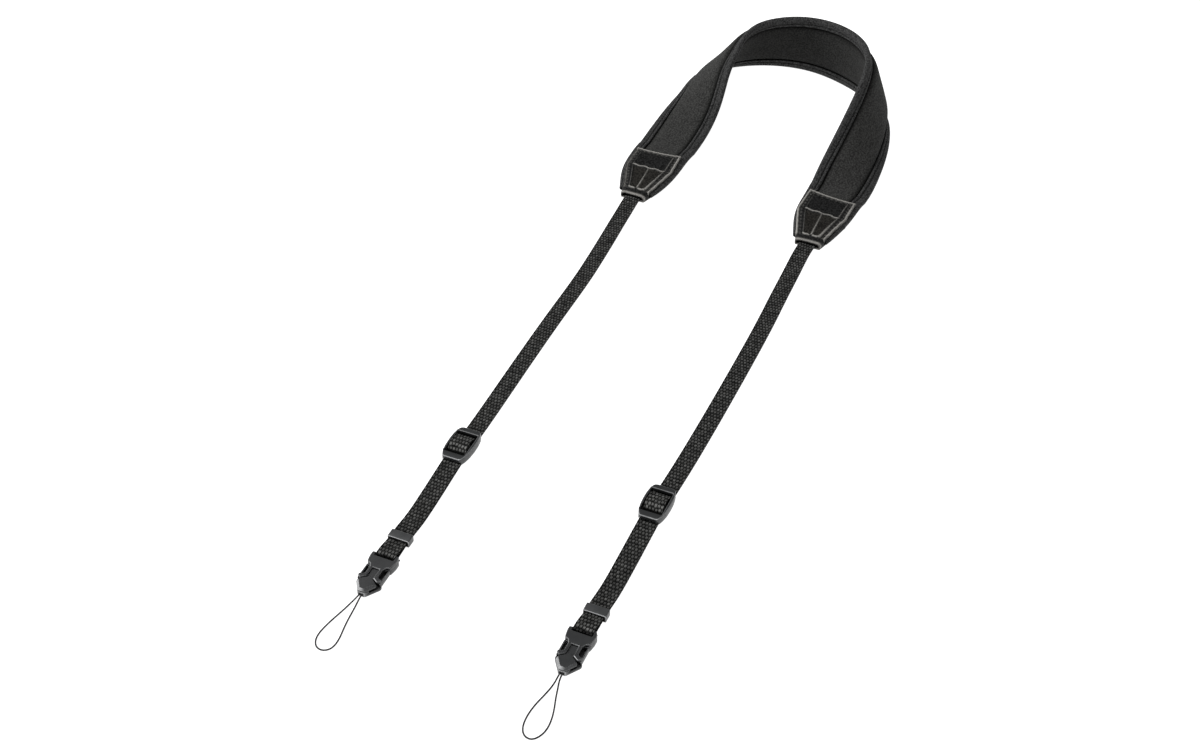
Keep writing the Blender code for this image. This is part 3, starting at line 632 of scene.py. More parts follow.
def knitted(tree, uv, ribs, plain, cloud_grain, cloud_share, dark, light):
    """Height and colour of a knit: fuzz, which is full on the ribs and has the share plain between
    them, mixed with a cloudy mottle, and a colour from dark to light with it."""
    fuzz = add_node(tree, "TexNoise", {"Vector": uv, "Scale": 1 / FUZZ_GRAIN})
    fuzz = add_node(tree, "MapRange", {"Value": fuzz, "From Min": 0.42, "From Max": 0.58})
    cloud = add_node(tree, "TexNoise", {"Vector": uv, "Scale": 1 / cloud_grain})
    cloud = add_node(tree, "MapRange", {"Value": cloud, "From Min": 0.38, "From Max": 0.62})
    lit = add_node(tree, "Mix", {0: ribs, 2: plain, 3: 1.0})
    lit = add_node(tree, "Math", {0: fuzz, 1: lit}, operation="MULTIPLY")
    lit = add_node(tree, "Mix", {0: cloud_share, 2: lit, 3: cloud})
    return lit, add_node(tree, "Mix", {0: lit, 6: dark, 7: light}, 2, data_type="RGBA")


def jersey(tree, sizes, colours):
    """Nylon jersey laminated to foam: matt and soft, with fine knitted ribs, a mottled look where
    the loops catch the light unevenly, painted shade, near black, where it dips into a seam, and
    painted shade over its lower face."""
    uv = add_node(tree, "TexCoord", {}, "UV")
    turned = add_node(tree, "Mapping", {"Vector": uv, "Rotation": (0, 0, 0.5)})
    wave = {"Vector": turned, "Scale": ONE_WAVE / sizes.knit_pitch, "Distortion": 2.0}
    wave |= {"Detail": 1.0, "Detail Scale": 1.5}
    ribs = add_node(tree, "TexWave", wave, "Fac", bands_direction="Y")
    dark, light = tint(colours.jersey, 0.5), tint(colours.jersey, 2.15)
    lit, colour_at = knitted(tree, uv, ribs, 0.4, 0.006, 0.15, dark, light)
    # The seam mark paints shade, near black, where the jersey dips into each seam, and the lower
    # face's mark paints shade over that whole face.
    seam = add_node(tree, "Attribute", {}, "Fac", attribute_name="seam")
    lining = add_node(tree, "Attribute", {}, "Fac", attribute_name="lining")
    shade = add_node(tree, "Math", {0: lining, 1: 0.45}, operation="MULTIPLY")
    colour_at = add_node(tree, "Mix", {0: shade, 6: colour_at, 7: BLACK}, 2, data_type="RGBA")
    sewn = tint(colours.jersey, 0.05)
    colour_at = add_node(tree, "Mix", {0: seam, 6: colour_at, 7: sewn}, 2, data_type="RGBA")
    bump = add_node(tree, "Bump", {"Height": lit, "Strength": 0.5, "Distance": 0.00015})
    return {
        "Base Color": colour_at, "Normal": bump, "Roughness": 0.95, "IOR": 1.53,
        "Specular IOR Level": 0.06, "Sheen Weight": 0.03, "Sheen Roughness": 0.6,
    }


def tape(tree, sizes, colours):
    """Knitted polyester tape: smoother than the jersey, with fine cross ribs, and painted shade,
    near black, in its sewn groove and where it folds in, fainter along its round edge."""
    uv = add_node(tree, "TexCoord", {}, "UV")
    wave = {"Vector": uv, "Scale": ONE_WAVE / TAPE_RIB, "Distortion": 2.5}
    wave |= {"Detail": 1.0, "Detail Scale": 1.5}
    ribs = add_node(tree, "TexWave", wave, "Fac")
    dark, light = tint(colours.tape, 0.35), tint(colours.tape, 2.25)
    lit, colour_at = knitted(tree, uv, ribs, 0.5, 0.005, 0.2, dark, light)
    # The seam mark paints shade: near black in the sewn groove and where the tape folds in, fainter
    # along its round edge.
    seam = add_node(tree, "Attribute", {}, "Fac", attribute_name="seam")
    sewn = tint(colours.tape, 0.05)
    colour_at = add_node(tree, "Mix", {0: seam, 6: colour_at, 7: sewn}, 2, data_type="RGBA")
    bump = add_node(tree, "Bump", {"Height": lit, "Strength": 0.4, "Distance": 0.00012})
    return {
        "Base Color": colour_at, "Normal": bump, "Roughness": 0.85, "IOR": 1.57,
        "Specular IOR Level": 0.08, "Sheen Weight": 0.03, "Sheen Roughness": 0.5,
    }


def thread(tree, sizes, colours):
    """Twisted polyester sewing thread: a slight silky shine on each stitch."""
    uv = add_node(tree, "TexCoord", {}, "UV")
    turned = add_node(tree, "Mapping", {"Vector": uv, "Rotation": (0, 0, 0.7)})
    twist = add_node(tree, "TexWave", {"Vector": turned, "Scale": ONE_WAVE / THREAD_TWIST}, "Fac")
    ends = {6: tint(colours.thread, 0.7), 7: tint(colours.thread, 2.2)}
    colour_at = add_node(tree, "Mix", {0: twist, **ends}, 2, data_type="RGBA")
    bump = add_node(tree, "Bump", {"Height": twist, "Strength": 0.6, "Distance": 0.00006})
    return {
        "Base Color": colour_at, "Normal": bump, "Roughness": 0.5, "IOR": 1.57,
        "Specular IOR Level": 0.3,
    }


def leather(tree, sizes, colours):
    """Split leather with a pressed polyurethane coat: black with a fine pebble grain, glossier
    and a little brown in its pressed panels, and worn grey and dull along its edges, where a
    painted highlight adds to the rub on one side. Its sewn channel is painted shade, near black."""
    spot = add_node(tree, "TexCoord", {}, "Object")
    pebbles = {"Vector": spot, "Scale": 1 / sizes.leather_grain}
    grain = add_node(tree, "TexVoronoi", pebbles, feature="SMOOTH_F1")
    dust = add_node(tree, "TexNoise", {"Vector": spot, "Scale": 1 / DUST_GRAIN})
    dust = add_node(tree, "MapRange", {"Value": dust, "From Min": 0.38, "From Max": 0.62})
    # The first mark is rub with a painted highlight on one side, and channel is painted shade in the
    # sewn channel.
    wear, glaze, channel = (
        add_node(tree, "Attribute", {}, "Fac", attribute_name=name)
        for name in ("wear", "glaze", "channel")
    )
    uneven = add_node(tree, "Math", {0: dust, 1: 0.55, 2: 0.7}, operation="MULTIPLY_ADD")
    rubbed_and_lit = add_node(tree, "Math", {0: wear, 1: uneven}, operation="MULTIPLY", use_clamp=True)
    gloss = {6: tint(colours.glazed, 0.4), 7: tint(colours.glazed, 2.7)}
    gloss = add_node(tree, "Mix", {0: dust, **gloss}, 2, data_type="RGBA")
    # Each layer covers the one before it by its share: pits, the sewn channel's painted shade, gloss,
    # and rub with its painted highlight.
    colour_at = BLACK
    for share, cover in (
        (dust, tint(colours.leather, 5.0)), (channel, BLACK), (glaze, gloss),
        (rubbed_and_lit, tint(colours.rubbed_and_lit)),
    ):
        colour_at = add_node(tree, "Mix", {0: share, 6: colour_at, 7: cover}, 2, data_type="RGBA")
    dull = 0.5
    for mark, share in ((glaze, -0.14), (rubbed_and_lit, 0.15), (channel, 0.5)):
        dull = add_node(tree, "Math", {0: mark, 1: share, 2: dull}, operation="MULTIPLY_ADD")
    height = add_node(tree, "Math", {0: dust, 1: 0.5, 2: grain}, operation="MULTIPLY_ADD")
    bump = add_node(tree, "Bump", {"Height": height, "Strength": 0.5, "Distance": 0.00015})
    return {
        "Base Color": colour_at, "Roughness": dull, "Normal": bump, "IOR": 1.5,
        "Specular IOR Level": 0.13,
    }


def webbing(tree, sizes, colours):
    """Woven textured polyester: black, with a painted highlight on the crowns of its coarse warp yarns
    and painted shade between them.
    """
    uv = add_node(tree, "TexCoord", {}, "UV")
    # The crown mark is the painted highlight, with painted shade between the yarns and in the grooves.
    crown = add_node(tree, "Attribute", {}, "Fac", attribute_name="crown")
    strands = {"Vector": uv, "Scale": (1 / FIBRE[0], 1 / FIBRE[1], 1.0)}
    strands = add_node(tree, "Mapping", strands)
    fibre = add_node(tree, "TexNoise", {"Vector": strands, "Scale": 1.0})
    spots = add_node(tree, "TexNoise", {"Vector": uv, "Scale": 1 / DUST_GRAIN})
    spots = {"Value": spots, "From Min": 0.38, "From Max": 0.62, "To Min": 0.2, "To Max": 0.7}
    spots = add_node(tree, "MapRange", spots)
    lit = add_node(tree, "Math", {0: fibre, 1: spots}, operation="ADD")
    lit = add_node(tree, "Math", {0: crown, 1: lit}, operation="MULTIPLY", use_clamp=True)
    ends = {6: tint(colours.webbing), 7: tint(colours.yarn_highlight)}
    colour_at = add_node(tree, "Mix", {0: lit, **ends}, 2, data_type="RGBA")
    bump = add_node(tree, "Bump", {"Height": fibre, "Strength": 0.5, "Distance": 0.0001})
    return {
        "Base Color": colour_at, "Normal": bump, "Roughness": 0.85, "IOR": 1.57,
        "Specular IOR Level": 0.06,
    }


def plastic(tree, sizes, colours):
    """Moulded acetal from a spark-eroded tool: dark grey, satin, with a very fine even grain, and
    painted highlights, a little mottled, along its edges."""
    spot = add_node(tree, "TexCoord", {}, "Object")
    grit = add_node(tree, "TexNoise", {"Vector": spot, "Scale": 1 / GRIT_GRAIN})
    cloud = add_node(tree, "TexNoise", {"Vector": spot, "Scale": 200.0, "Detail": 3.0})
    # The edge mark sets where the painted highlights go.
    edge = add_node(tree, "Attribute", {}, "Fac", attribute_name="edge")
    uneven = add_node(tree, "Math", {0: cloud, 1: 0.3}, operation="ADD")
    edge = add_node(tree, "Math", {0: edge, 1: uneven}, operation="MULTIPLY")
    ends = {6: tint(colours.plastic), 7: tint(colours.edge_highlight)}
    colour_at = add_node(tree, "Mix", {0: edge, **ends}, 2, data_type="RGBA")
    gloss = add_node(tree, "MapRange", {"Value": cloud, "To Min": 0.3, "To Max": 0.46})
    bump = add_node(tree, "Bump", {"Height": grit, "Strength": 0.25, "Distance": 0.00004})
    return {
        "Base Color": colour_at, "Roughness": gloss, "Normal": bump, "IOR": 1.48,
        "Specular IOR Level": 0.5,
    }


def cord(tree, sizes, colours):
    """Braided nylon cord: small crossing strands with a low shine."""
    braid = add_node(tree, "Attribute", {}, "Fac", attribute_name="crown")
    ends = {6: tint(colours.cord, 0.85), 7: tint(colours.cord, 1.3)}
    colour_at = add_node(tree, "Mix", {0: braid, **ends}, 2, data_type="RGBA")
    return {"Base Color": colour_at, "Roughness": 0.6, "IOR": 1.53, "Specular IOR Level": 0.2}


def acrylic(tree, sizes, colours):
    """Opal acrylic of a light table: plain, matt and pale, and softly lit from below, so that
    what lies on it throws almost no shadow."""
    return {
        "Base Color": tint(colours.floor), "Roughness": 0.9, "Specular IOR Level": 0.1,
        "Emission Color": tint((1.0, 1.0, 1.0)), "Emission Strength": FLOOR_LIGHT,
    }


# Each use's material: its name, and the function that gives its shader's inputs.
MATERIALS = {
    "jersey": ("Knitted nylon jersey on foam", jersey),
    "tape": ("Knitted polyester binding tape", tape),
    "thread": ("Twisted polyester thread", thread),
    "leather": ("Coated split leather", leather),
    "webbing": ("Woven polyester webbing", webbing),
    "plastic": ("Moulded acetal", plastic),
    "cord": ("Braided nylon cord", cord),
    "floor": ("Opal acrylic", acrylic),
}


def material(scene, use):
    """The material of a use, made where the file doesn't have it yet."""
    name, inputs_of = MATERIALS[use]
    made = bpy.data.materials.get(name)
    if made is None:
        made = bpy.data.materials.new(name)
        made.use_nodes = True
        tree = made.node_tree
        inputs = inputs_of(tree, scene.strap_sizes, scene.strap_colours)
        feed(tree, tree.nodes["Principled BSDF"], inputs)
    return made


def stitches(centres, along, across, up, length, thickness):
    """Short threads: each is a round tube along its stitch, its ends bent down into the cloth by
    the fifth power of the share of its half length."""
    ring = np.linspace(0, 2 * np.pi, 6, endpoint=False)
    share, radius = STITCH_AT, thickness / 2
    dip = -STITCH_DIP * np.abs(share) ** 5 * radius
    middle = (
        centres[:, None] + along[:, None] * (share * length / 2)[None, :, None]
        + up[:, None] * dip[None, :, None]
    )
    around = (
        across[:, None, None] * np.cos(ring)[None, None, :, None]
        + up[:, None, None] * np.sin(ring)[None, None, :, None]
    )
    points = middle[:, :, None] + around * (STITCH_FAT * radius)[None, :, None, None]
    u = (share * length / 2 * MM)[:, None] + np.zeros(len(ring) + 1)
    v = np.linspace(0, 2 * np.pi * radius * MM, len(ring) + 1) + np.zeros((len(share), 1))
    uv = np.stack([u, v], axis=2)
    return [shell(stitch, uv) for stitch in points]


def make_panel(sizes, materials):
    """The padded panel. Its height over the band's middle plane is a low crown that drops fast
    towards each seam, plus puckers at the stitch pitch near the seams and slow waves of foam."""
    band = Band(mm(sizes.binding_depth))
    at = band.read(stations_along(PAD_START, band.length - PAD_START, 1.0))
    half, border, binding_half = (at[key][:, None] for key in ("half", "border", "binding_half"))
    across = np.sin(np.linspace(-np.pi / 2, np.pi / 2, PANEL_COLUMNS))[None]
    seam, edge = half - border - GAP, half - binding_half - 2 * GAP
    tongue = TONGUE_SHARE * np.hstack([binding_half, binding_half])
    u, v = at["distance"][:, None], across * seam
    from_seam = (1 - np.abs(across)) * seam
    pucker = np.cos(2 * np.pi * u / mm(sizes.stitch_pitch) + np.sign(v))
    pucker = PUCKER_HEIGHT * pucker * np.exp(-from_seam / PUCKER_FADE)
    at_seam, wall, crown = PANEL_RISE
    rise = at_seam + wall * (1 - np.exp(-from_seam / PANEL_WALL)) + crown * (1 - across**2)
    faces = []
    for sign, high in ((1, at["pad_top"]), (-1, at["pad_half"])):
        foam = FOAM_WAVE[0] * slow_waves(u, v, FOAM_WAVE[1], 3 + sign) * (1 - np.abs(across))
        face = np.stack([v, sign * (high[:, None] * rise + pucker + foam)], axis=2)
        tongue_end = np.stack([np.hstack([seam, edge]), sign * tongue], axis=2)
        faces.append(np.concatenate([tongue_end[:, ::-1] * (-1, 1), face, tongue_end], axis=1))
    upper, lower = faces[0], faces[1][:, ::-1]
    v = np.concatenate([upper[..., 0], lower[..., 0] + LINING_V, lower[:, -1:, 0] + LINING_V], axis=1)
    uv = np.stack([u + 0 * v, v], axis=2) * MM
    # Painted shade: darkest at each seam and fading in, and over the whole lower face.
    dip = 0.55 * hump(from_seam, 2.0) + 0.45 * hump(from_seam, 0.7)
    dip = np.concatenate([dip[:, [0, 0]], dip, dip[:, [0, 0]]], axis=1)
    lining = np.repeat([0.0, 1.0], dip.shape[1])
    section = np.concatenate([upper, lower], axis=1)
    body = shell(placed(at, section), uv, seam=np.hstack([dip, dip]), lining=lining)
    panel = add_piece("pad_panel", [body], materials["jersey"], ["neck_pad"])


def edge_roll(depth):
    """The round edge's height as a share of the tape's: a superellipse up to the roll's depth."""
    return (1 - np.clip(1 - depth / ROLL_DEPTH, 0, 1) ** ROLL_POWER) ** (1 / ROLL_POWER)


def binding_height(depth, high, groove):
    """Height of the folded tape over the band's middle plane, at a depth in from the edge: a
    round roll, a sewn groove, a low ridge, and a round fold at its inner end."""
    sewn, ridge = (hump(depth - place, width) for place, width in (GROOVE, RIDGE))
    fold = 0.62 * quarter_round(FOLD[0] - depth, FOLD[1])
    return high * edge_roll(depth) - groove * sewn + 0.25 * ridge - fold


def make_binding(name, node, side, sizes, materials):
    """A tape folded over one long edge of the band: its outer face as binding_height says, with
    needle holes that pull it down at the stitch pitch, and a flat slot inside for the panel.
    side is -1 for the outer edge and 1 for the inner one."""
    border, pitch = mm(sizes.binding_depth), mm(sizes.stitch_pitch)
    band = Band(border)
    at = band.read(stations_along(PAD_START, band.length - PAD_START, 0.75))
    half, high = at["half"][:, None], at["binding_half"][:, None]
    share = at["border"][:, None] / border
    u, depth = at["distance"][:, None], np.array(BINDING_DEPTHS)[None]
    groove = (0.5 + 0.16 * np.cos(2 * np.pi * u / pitch)) * share
    slot = TONGUE_SHARE * high + GAP
    height = np.maximum(binding_height(depth, high, groove), slot + 0.12)
    height[:, 0] = 0
    height[:, 1:4] = np.maximum(high * edge_roll(depth[:, 1:4]), 0.05)
    height = height + 0.05 * slow_waves(u, depth, 17, 11 + side) * smooth_step(depth, 0.3, 2)
    upper = np.stack([half - depth * share, height], axis=2)
    inside = half - np.hstack([depth[:, -1:] * share, high - 0.1])
    inner = np.stack([inside, np.hstack([slot, slot])], axis=2)
    half_ring = np.concatenate([upper, inner], axis=1) * (side, 1)
    section = np.concatenate([half_ring, half_ring[:, :0:-1] * (1, -1)], axis=1)
    # Painted shade: near black in the sewn groove and where the tape folds in at the panel, fainter
    # along the round edge, and full on the slot inside.
    seam_shade = 0.95 * hump(depth - 4.5, 0.45) + 0.3 * hump(depth - 2.6, 0.4)
    seam_shade = np.clip(seam_shade + smooth_step(depth, 6.45, 6.9), 0, 1)
    seam_shade = np.hstack([seam_shade, [[1, 1]]])
    seam_shade = np.hstack([seam_shade, seam_shade[:, :0:-1]])
    run = np.linalg.norm(np.diff(section, axis=1, append=section[:, :1]), axis=2)
    v = np.concatenate([0 * u, np.cumsum(run, axis=1)], axis=1)
    uv = np.stack([u + 0 * v, v], axis=2) * MM
    body = shell(placed(at, section), uv, seam=seam_shade)
    folded = add_piece(name, [body], materials["tape"], [node])
    at = band.read(np.arange(PAD_START + 4.0, band.length - PAD_START - 4.0, pitch))
    share = at["border"] / border
    low = binding_height(GROOVE[0], at["binding_half"], 0.4 * share) + 0.06
    threads = []
    for sign in (1, -1):
        section = np.stack([side * (at["half"] - GROOVE[0] * share), sign * low], axis=1)[:, None]
        threads += stitches(
            placed(at, section)[:, 0], at["along"], at["across"], sign * at["normal"],
            STITCH_SHARE * pitch, mm(sizes.thread),
        )
    add_piece(f"{name}_stitching", threads, materials["thread"])


def outline_inset(x, d):
    """Distance in from the patch's outline, at x across and d from its tip. It is the least of
    the distances to its four slanting sides and its top."""
    inset = PATCH_END - d
    for (da, wa), (db, wb) in zip(PATCH_ROWS, PATCH_ROWS[1:]):
        run = np.hypot(db - da, wb - wa)
        edge = wa + (d - da) * (wb - wa) / (db - da)
        inset = np.minimum(inset, (edge - np.abs(x)) * (db - da) / run)
    return inset


def to_segment(x, d, start, end):
    """Distance to a straight segment between two (across, from tip) points, and the share of its
    length at the nearest point."""
    run = np.array(end, float) - start
    share = np.clip(((x - start[0]) * run[0] + (d - start[1]) * run[1]) / (run @ run), 0, 1)
    return np.hypot(x - start[0] - share * run[0], d - start[1] - share * run[1]), share


def patch_relief(x, d, side):
    """Height, rub and glaze of the patch's outer face over its flat leather: a round rim, a sewn
    channel, pressed ridges, and two sunken glossy panels between them. The rub is partly the
    leather's rub and partly a painted highlight, stronger on the side that BRIGHT_SIDE gives. The
    last result is how deep in the sewn channel a point is, which also paints shade into the channel."""
    inset = outline_inset(x, d)
    x = BRIGHT_SIDE[side] * x
    # Small sines let the pressed lines wander as hand work does.
    wobble = 0.14 * np.sin(1.7 * x + 0.4 * d) + 0.1 * np.sin(0.9 * d - x)
    sway = 0.4 * np.sin(0.8 * x + 0.7)
    on_top = smooth_step(d, 45.9, 47.9)
    # dim takes painted highlight off the rim on the side away from the light.
    dim = (1 - smooth_step(x, -6, 4)) * (1 - on_top) * DIM_RIM[side]
    rim = hump(inset - 0.8 - 0.6 * wobble, 0.6)
    height = -0.55 * quarter_round(inset, 0.6)
    height += 0.36 * rim * (1 + 0.25 * np.cos(2 * np.pi * x / NEEDLE_PITCH) * on_top)
    channel = hump(inset - STITCH_INSET, 0.65) * smooth_step(d, 4.6, 6.2)
    beat = 0.5 + 0.5 * np.cos(2 * np.pi * np.where(d > 46, x, d) / NEEDLE_PITCH)
    sewn = 0.8 * channel * (0.6 + 0.4 * beat)
    height -= 0.55 * sewn
    (top_x, top_d), (foot_x, foot_d) = SUNKEN_TOP, SUNKEN_FOOT
    near, _ = to_segment(np.abs(x), d, SUNKEN_TOP, SUNKEN_FOOT)
    edge = foot_x + (d - foot_d) * (top_x - foot_x) / (top_d - foot_d)
    sunken = smooth_step(near, 0.2, 1.0) * (np.abs(x) < edge)
    sunken = sunken * smooth_step(d, foot_d, foot_d + 1) * (1 - smooth_step(d, 27.6, 28.6))
    height -= 0.25 * sunken
    wear = (1.3 - 0.7 * dim) * hump(inset - 0.75 - 0.7 * dim - 0.6 * wobble, 0.62 - 0.12 * dim)
    wear = np.maximum(wear, 0.3 * channel * beat)
    for start, end, wide, wide_end, high, rub, rub_end in PATCH_LINES:
        is_middle = start[1] > 29 > end[1]
        near, share = to_segment(x, d + (sway if is_middle else wobble), start, end)
        line = hump(near, wide + (wide_end - wide) * share)
        height += high * line
        wear = np.maximum(wear, (rub + (rub_end - rub) * share) * line**1.3)
    return height, wear, sunken, sewn


def patch_sag(x, d):
    """How far the patch's top edge hangs towards its tip: a parabola across, fading downwards."""
    deep, fade = PATCH_SAG
    parabola = np.clip(1 - (x / PATCH_ROWS[-1][1]) ** 2, 0, 1)
    return deep * parabola * smooth_step(d, fade, PATCH_END)


def make_end_patch(side, sizes, materials):
    """The leather on the outer face: flat with patch_relief on it, and in its last 5 mm an arch
    whose outside and inside are superellipses, which stands on the patch's back."""
    band = Band(mm(sizes.binding_depth))
    d = np.concatenate([PATCH_FINE, stations_along(5.9, PATCH_END, PATCH_STEP)])
    at = band.from_tip(side, d)
    share = np.linspace(1, -1, PATCH_COUNT)[None]
    half = patch_half_width(d)[:, None]
    base = (at["pad_half"] + GAP)[:, None]
    x, d = share * half, d[:, None]
    arch = 1 - smooth_step(d, *MOUTH_FADE)
    relief, wear, glaze, sewn = patch_relief(x, d, side)
    relief, wear, sewn = relief * (1 - arch), wear * (1 - arch), sewn * (1 - arch)
    wear = np.maximum(wear, 1.15 * hump(d - 0.9, 0.85) * arch)
    arch_x = np.sign(share) * np.abs(np.sin(share * np.pi / 2)) ** (2 / MOUTH_POWER)
    arch_z = np.abs(np.cos(share * np.pi / 2)) ** (2 / MOUTH_POWER)
    low, top = GAP - base, base + LEATHER
    round_end = 0.35 * quarter_round(d, 0.4)
    proud = 0.12 * hump(d - 0.75, 0.7) - round_end
    outer = np.stack([
        (1 - arch) * x + arch * (half + proud) * arch_x,
        (1 - arch) * (top + relief) + arch * (low + (top - low + proud) * arch_z),
    ], axis=2)
    inner = np.stack([
        (1 - arch) * x + arch * (0.87 * half + round_end) * arch_x,
        (1 - arch) * (base + 0 * x) + arch * (low + (0.79 * (top - low) + round_end) * arch_z),
    ], axis=2)
    section = np.concatenate([outer, inner[:, ::-1]], axis=1)
    wear, glaze, sewn = (np.hstack([mark, 0 * mark]) for mark in (wear, glaze, sewn))
    sag = patch_sag(x, d)
    sag = np.hstack([sag, sag[:, ::-1]])
    points = placed(at, section) - sag[..., None] * at["forward"][:, None]
    rows, columns = points.shape[:2]
    # The marks: rub with its painted highlight, glaze, and the sewn channel's painted shade.
    body = shell(points, wear=wear, glaze=glaze, channel=sewn)
    # Each end is a strip between the patch's outside and its inside, and not one wide cap.
    k = np.arange(PATCH_COUNT - 1)
    for i, start in ((1, 0), (2, (rows - 1) * columns)):
        strip = np.stack([k, k + 1, columns - 2 - k, columns - 1 - k], axis=1) + start
        cap = body["faces"][i][0]
        body["faces"][i] = strip if cap[0] < cap[1] else strip[:, ::-1]
        body["uv"][i] = np.zeros((len(strip), 4, 2))
    name = f"leather_patch_{side}"
    add_piece(name, [body], materials["leather"], [f"end_patch_{side}"])
    add_patch_stitches(side, band, sizes, materials)


def add_patch_stitches(side, band, sizes, materials):
    """Stitches along the patch's sewn channel: up one side, across the top and down the other."""
    pitch = mm(sizes.patch_stitch_pitch)
    (_, w0), (d1, w1), (d2, w2) = PATCH_ROWS
    low = (w0 + STITCH_START * (w1 - w0) / d1 - STITCH_INSET * 1.03, STITCH_START)
    half = [low, (w1 - STITCH_INSET, d1), (w2 - STITCH_INSET, d2 - STITCH_INSET)]
    path = StraightPath(mirrored(half))
    places, heading = path.at(np.arange(pitch / 2, path.length, pitch))
    x, d = places.T
    at = band.from_tip(side, d)
    height = at["pad_half"] + GAP + LEATHER + patch_relief(x, d, side)[0] + 0.1
    centres = placed(at, np.stack([x, height], axis=1)[:, None])[:, 0]
    centres -= patch_sag(x, d)[:, None] * at["forward"]
    along = heading[:, :1] * at["across"] + heading[:, 1:] * at["forward"]
    along /= np.linalg.norm(along, axis=1)[:, None]
    across = np.cross(along, at["normal"])
    length, thickness = PATCH_STITCH_SHARE * pitch, mm(sizes.thread) * 1.1
    threads = stitches(centres, along, across, at["normal"], length, thickness)
    add_piece(f"patch_stitching_{side}", threads, materials["thread"])


class StraightPath:
    """A path of straight runs, read at distances along it."""

    def __init__(self, corners):
        self.corners = np.array(corners, float)
        runs = np.linalg.norm(np.diff(self.corners, axis=0), axis=1)
        self.reach = np.concatenate([[0], np.cumsum(runs)])
        self.length = self.reach[-1]

    def at(self, distance):
        """The points and the unit directions at distances along."""
        i = np.clip(np.searchsorted(self.reach, distance, side="right") - 1, 0, len(self.corners) - 2)
        run = self.corners[i + 1] - self.corners[i]
        run /= np.linalg.norm(run, axis=1)[:, None]
        return self.corners[i] + run * (distance - self.reach[i])[:, None], run


def make_patch_back(side, sizes, materials):
    """The plain leather under the pad's end: a flat strip with half round long edges."""
    d = np.linspace(1, BACK_LENGTH - 1, 49)
    d = np.concatenate([[0.0, 0.1, 0.3, 0.6], d, BACK_LENGTH - np.array([0.5, 0.2, 0.0])])
    at = Band(mm(sizes.binding_depth)).from_tip(side, d)
    half = patch_half_width(d)[:, None]
    turn = np.linspace(-np.pi / 2, np.pi / 2, 9)[None]
    centre = half - LEATHER / 2
    radius = LEATHER / 2 - 0.25 * (hump(d, 0.25) + hump(d - BACK_LENGTH, 0.25))[:, None]
    middle = -(at["pad_half"] + GAP + LEATHER / 2)[:, None]
    flat = np.linspace(-0.92, 0.92, 17)[None] * centre
    right = np.stack([centre + radius * np.cos(turn), middle + radius * np.sin(turn)], axis=2)
    top = np.stack([flat[:, ::-1], middle + radius + 0 * flat], axis=2)
    under = np.stack([flat, middle - radius + 0 * flat], axis=2)
    section = np.concatenate([right, top, right[:, ::-1] * (-1, 1), under], axis=1)
    round_wear = 0.7 * np.cos(turn) ** 2
    wear = np.hstack([round_wear, 0 * flat[:1], round_wear, 0 * flat[:1]])
    wear = np.maximum(wear, hump(d[:, None] - 0.3, 0.6))
    back = shell(placed(at, section), wear=wear)
    add_piece(f"leather_back_{side}", [back], materials["leather"], [f"patch_back_{side}"])


def along_from(rows, y):
    """The rows' places along, counted from y."""
    return [(y + along, height) for along, height in rows]


def level_run(start, end, height, count):
    """Even places from start to end at one height."""
    return [(y, height) for y in np.linspace(start, end, count)]


def ribbon_path(places):
    """The webbing's middle line, seen from the side as (y, z), from the patch's mouth to its end.

    It goes under the slider's rear bar, over its centre bar and under its front bar, through the
    keeper, round the buckle's bar, and back below itself to the slider's centre bar."""
    tip, bar = places["tip"], places["bar"][1]
    slider, keeper = places["slider"][1], places["keeper"][1]
    turn = np.radians(np.linspace(90, 270, 9))
    wrap_y = bar + WRAP_MIDDLE[0] + WRAP_REACH * np.cos(turn)
    wrap_z = WRAP_MIDDLE[1] + WRAP_HALF_HEIGHT * np.sin(turn)
    return np.array(
        along_from(WEB_AT_TIP, tip)
        + level_run(tip - 28, slider + 20, WEB_SINGLE, 11)
        + along_from(WEB_AT_SLIDER, slider)
        + level_run(slider - 22, keeper + 13, WEB_DOUBLE, 3)
        + along_from(WEB_OVER_KEEPER, keeper)
        + along_from(WEB_TO_BAR, bar)
        + list(zip(wrap_y, wrap_z))
        + along_from(WEB_FROM_BAR, bar)
        + along_from(WEB_UNDER_KEEPER, keeper)
        + level_run(keeper + 13, slider - 8, WEB_SINGLE, 4)
        + along_from(WEB_END, slider)
    )


def weave(u, v, pitch, yarn_float, over):
    """Height and painted lightness, both from 0 to 1, of a plain weave's face at u along and v across.

    It is a brick pattern of rounded crowns, each of two yarns side by side: a row is half a float
    long, and each second row is moved across by half a pair. A crown's profile is half a sine wave
    across, times a weaker one for each of its yarns, and a cosine arch along, which ends in a
    groove. The lightness is a painted highlight on each crown, with painted shade between its two
    yarns and in the groove. Each crown is a little higher or lower, longer or shorter and lighter
    or darker than the next, by a seeded draw. over is 0 or 1, for the face on which the first row
    is moved or not."""
    turned = 2 * u / yarn_float + 0.5
    row = np.floor(turned).astype(int)
    places = v / pitch + 0.5 * ((row + over) % 2)
    column = np.floor(places).astype(int)
    draw = np.random.default_rng(7 + over).random((4, row.max() + 1, column.max() + 1))
    high, long, light, slip = draw[:, row, column]
    rib = np.abs(np.sin(np.pi * (places - column)))
    part = np.abs(turned - row - 0.5 + 0.22 * (slip - 0.5)) / (0.9 + 0.25 * long)
    arch = np.cos(np.pi * np.clip(part, 0, 0.5))
    pair = np.abs(np.sin(2 * np.pi * (places - column)))
    height = rib**0.6 * arch**0.6 * (0.7 + 0.3 * high) * (0.75 + 0.25 * pair)
    return height, (0.02 + 0.98 * rib**2) * (0.35 + 0.65 * pair) * arch**1.5 * (0.4 + 0.6 * light)


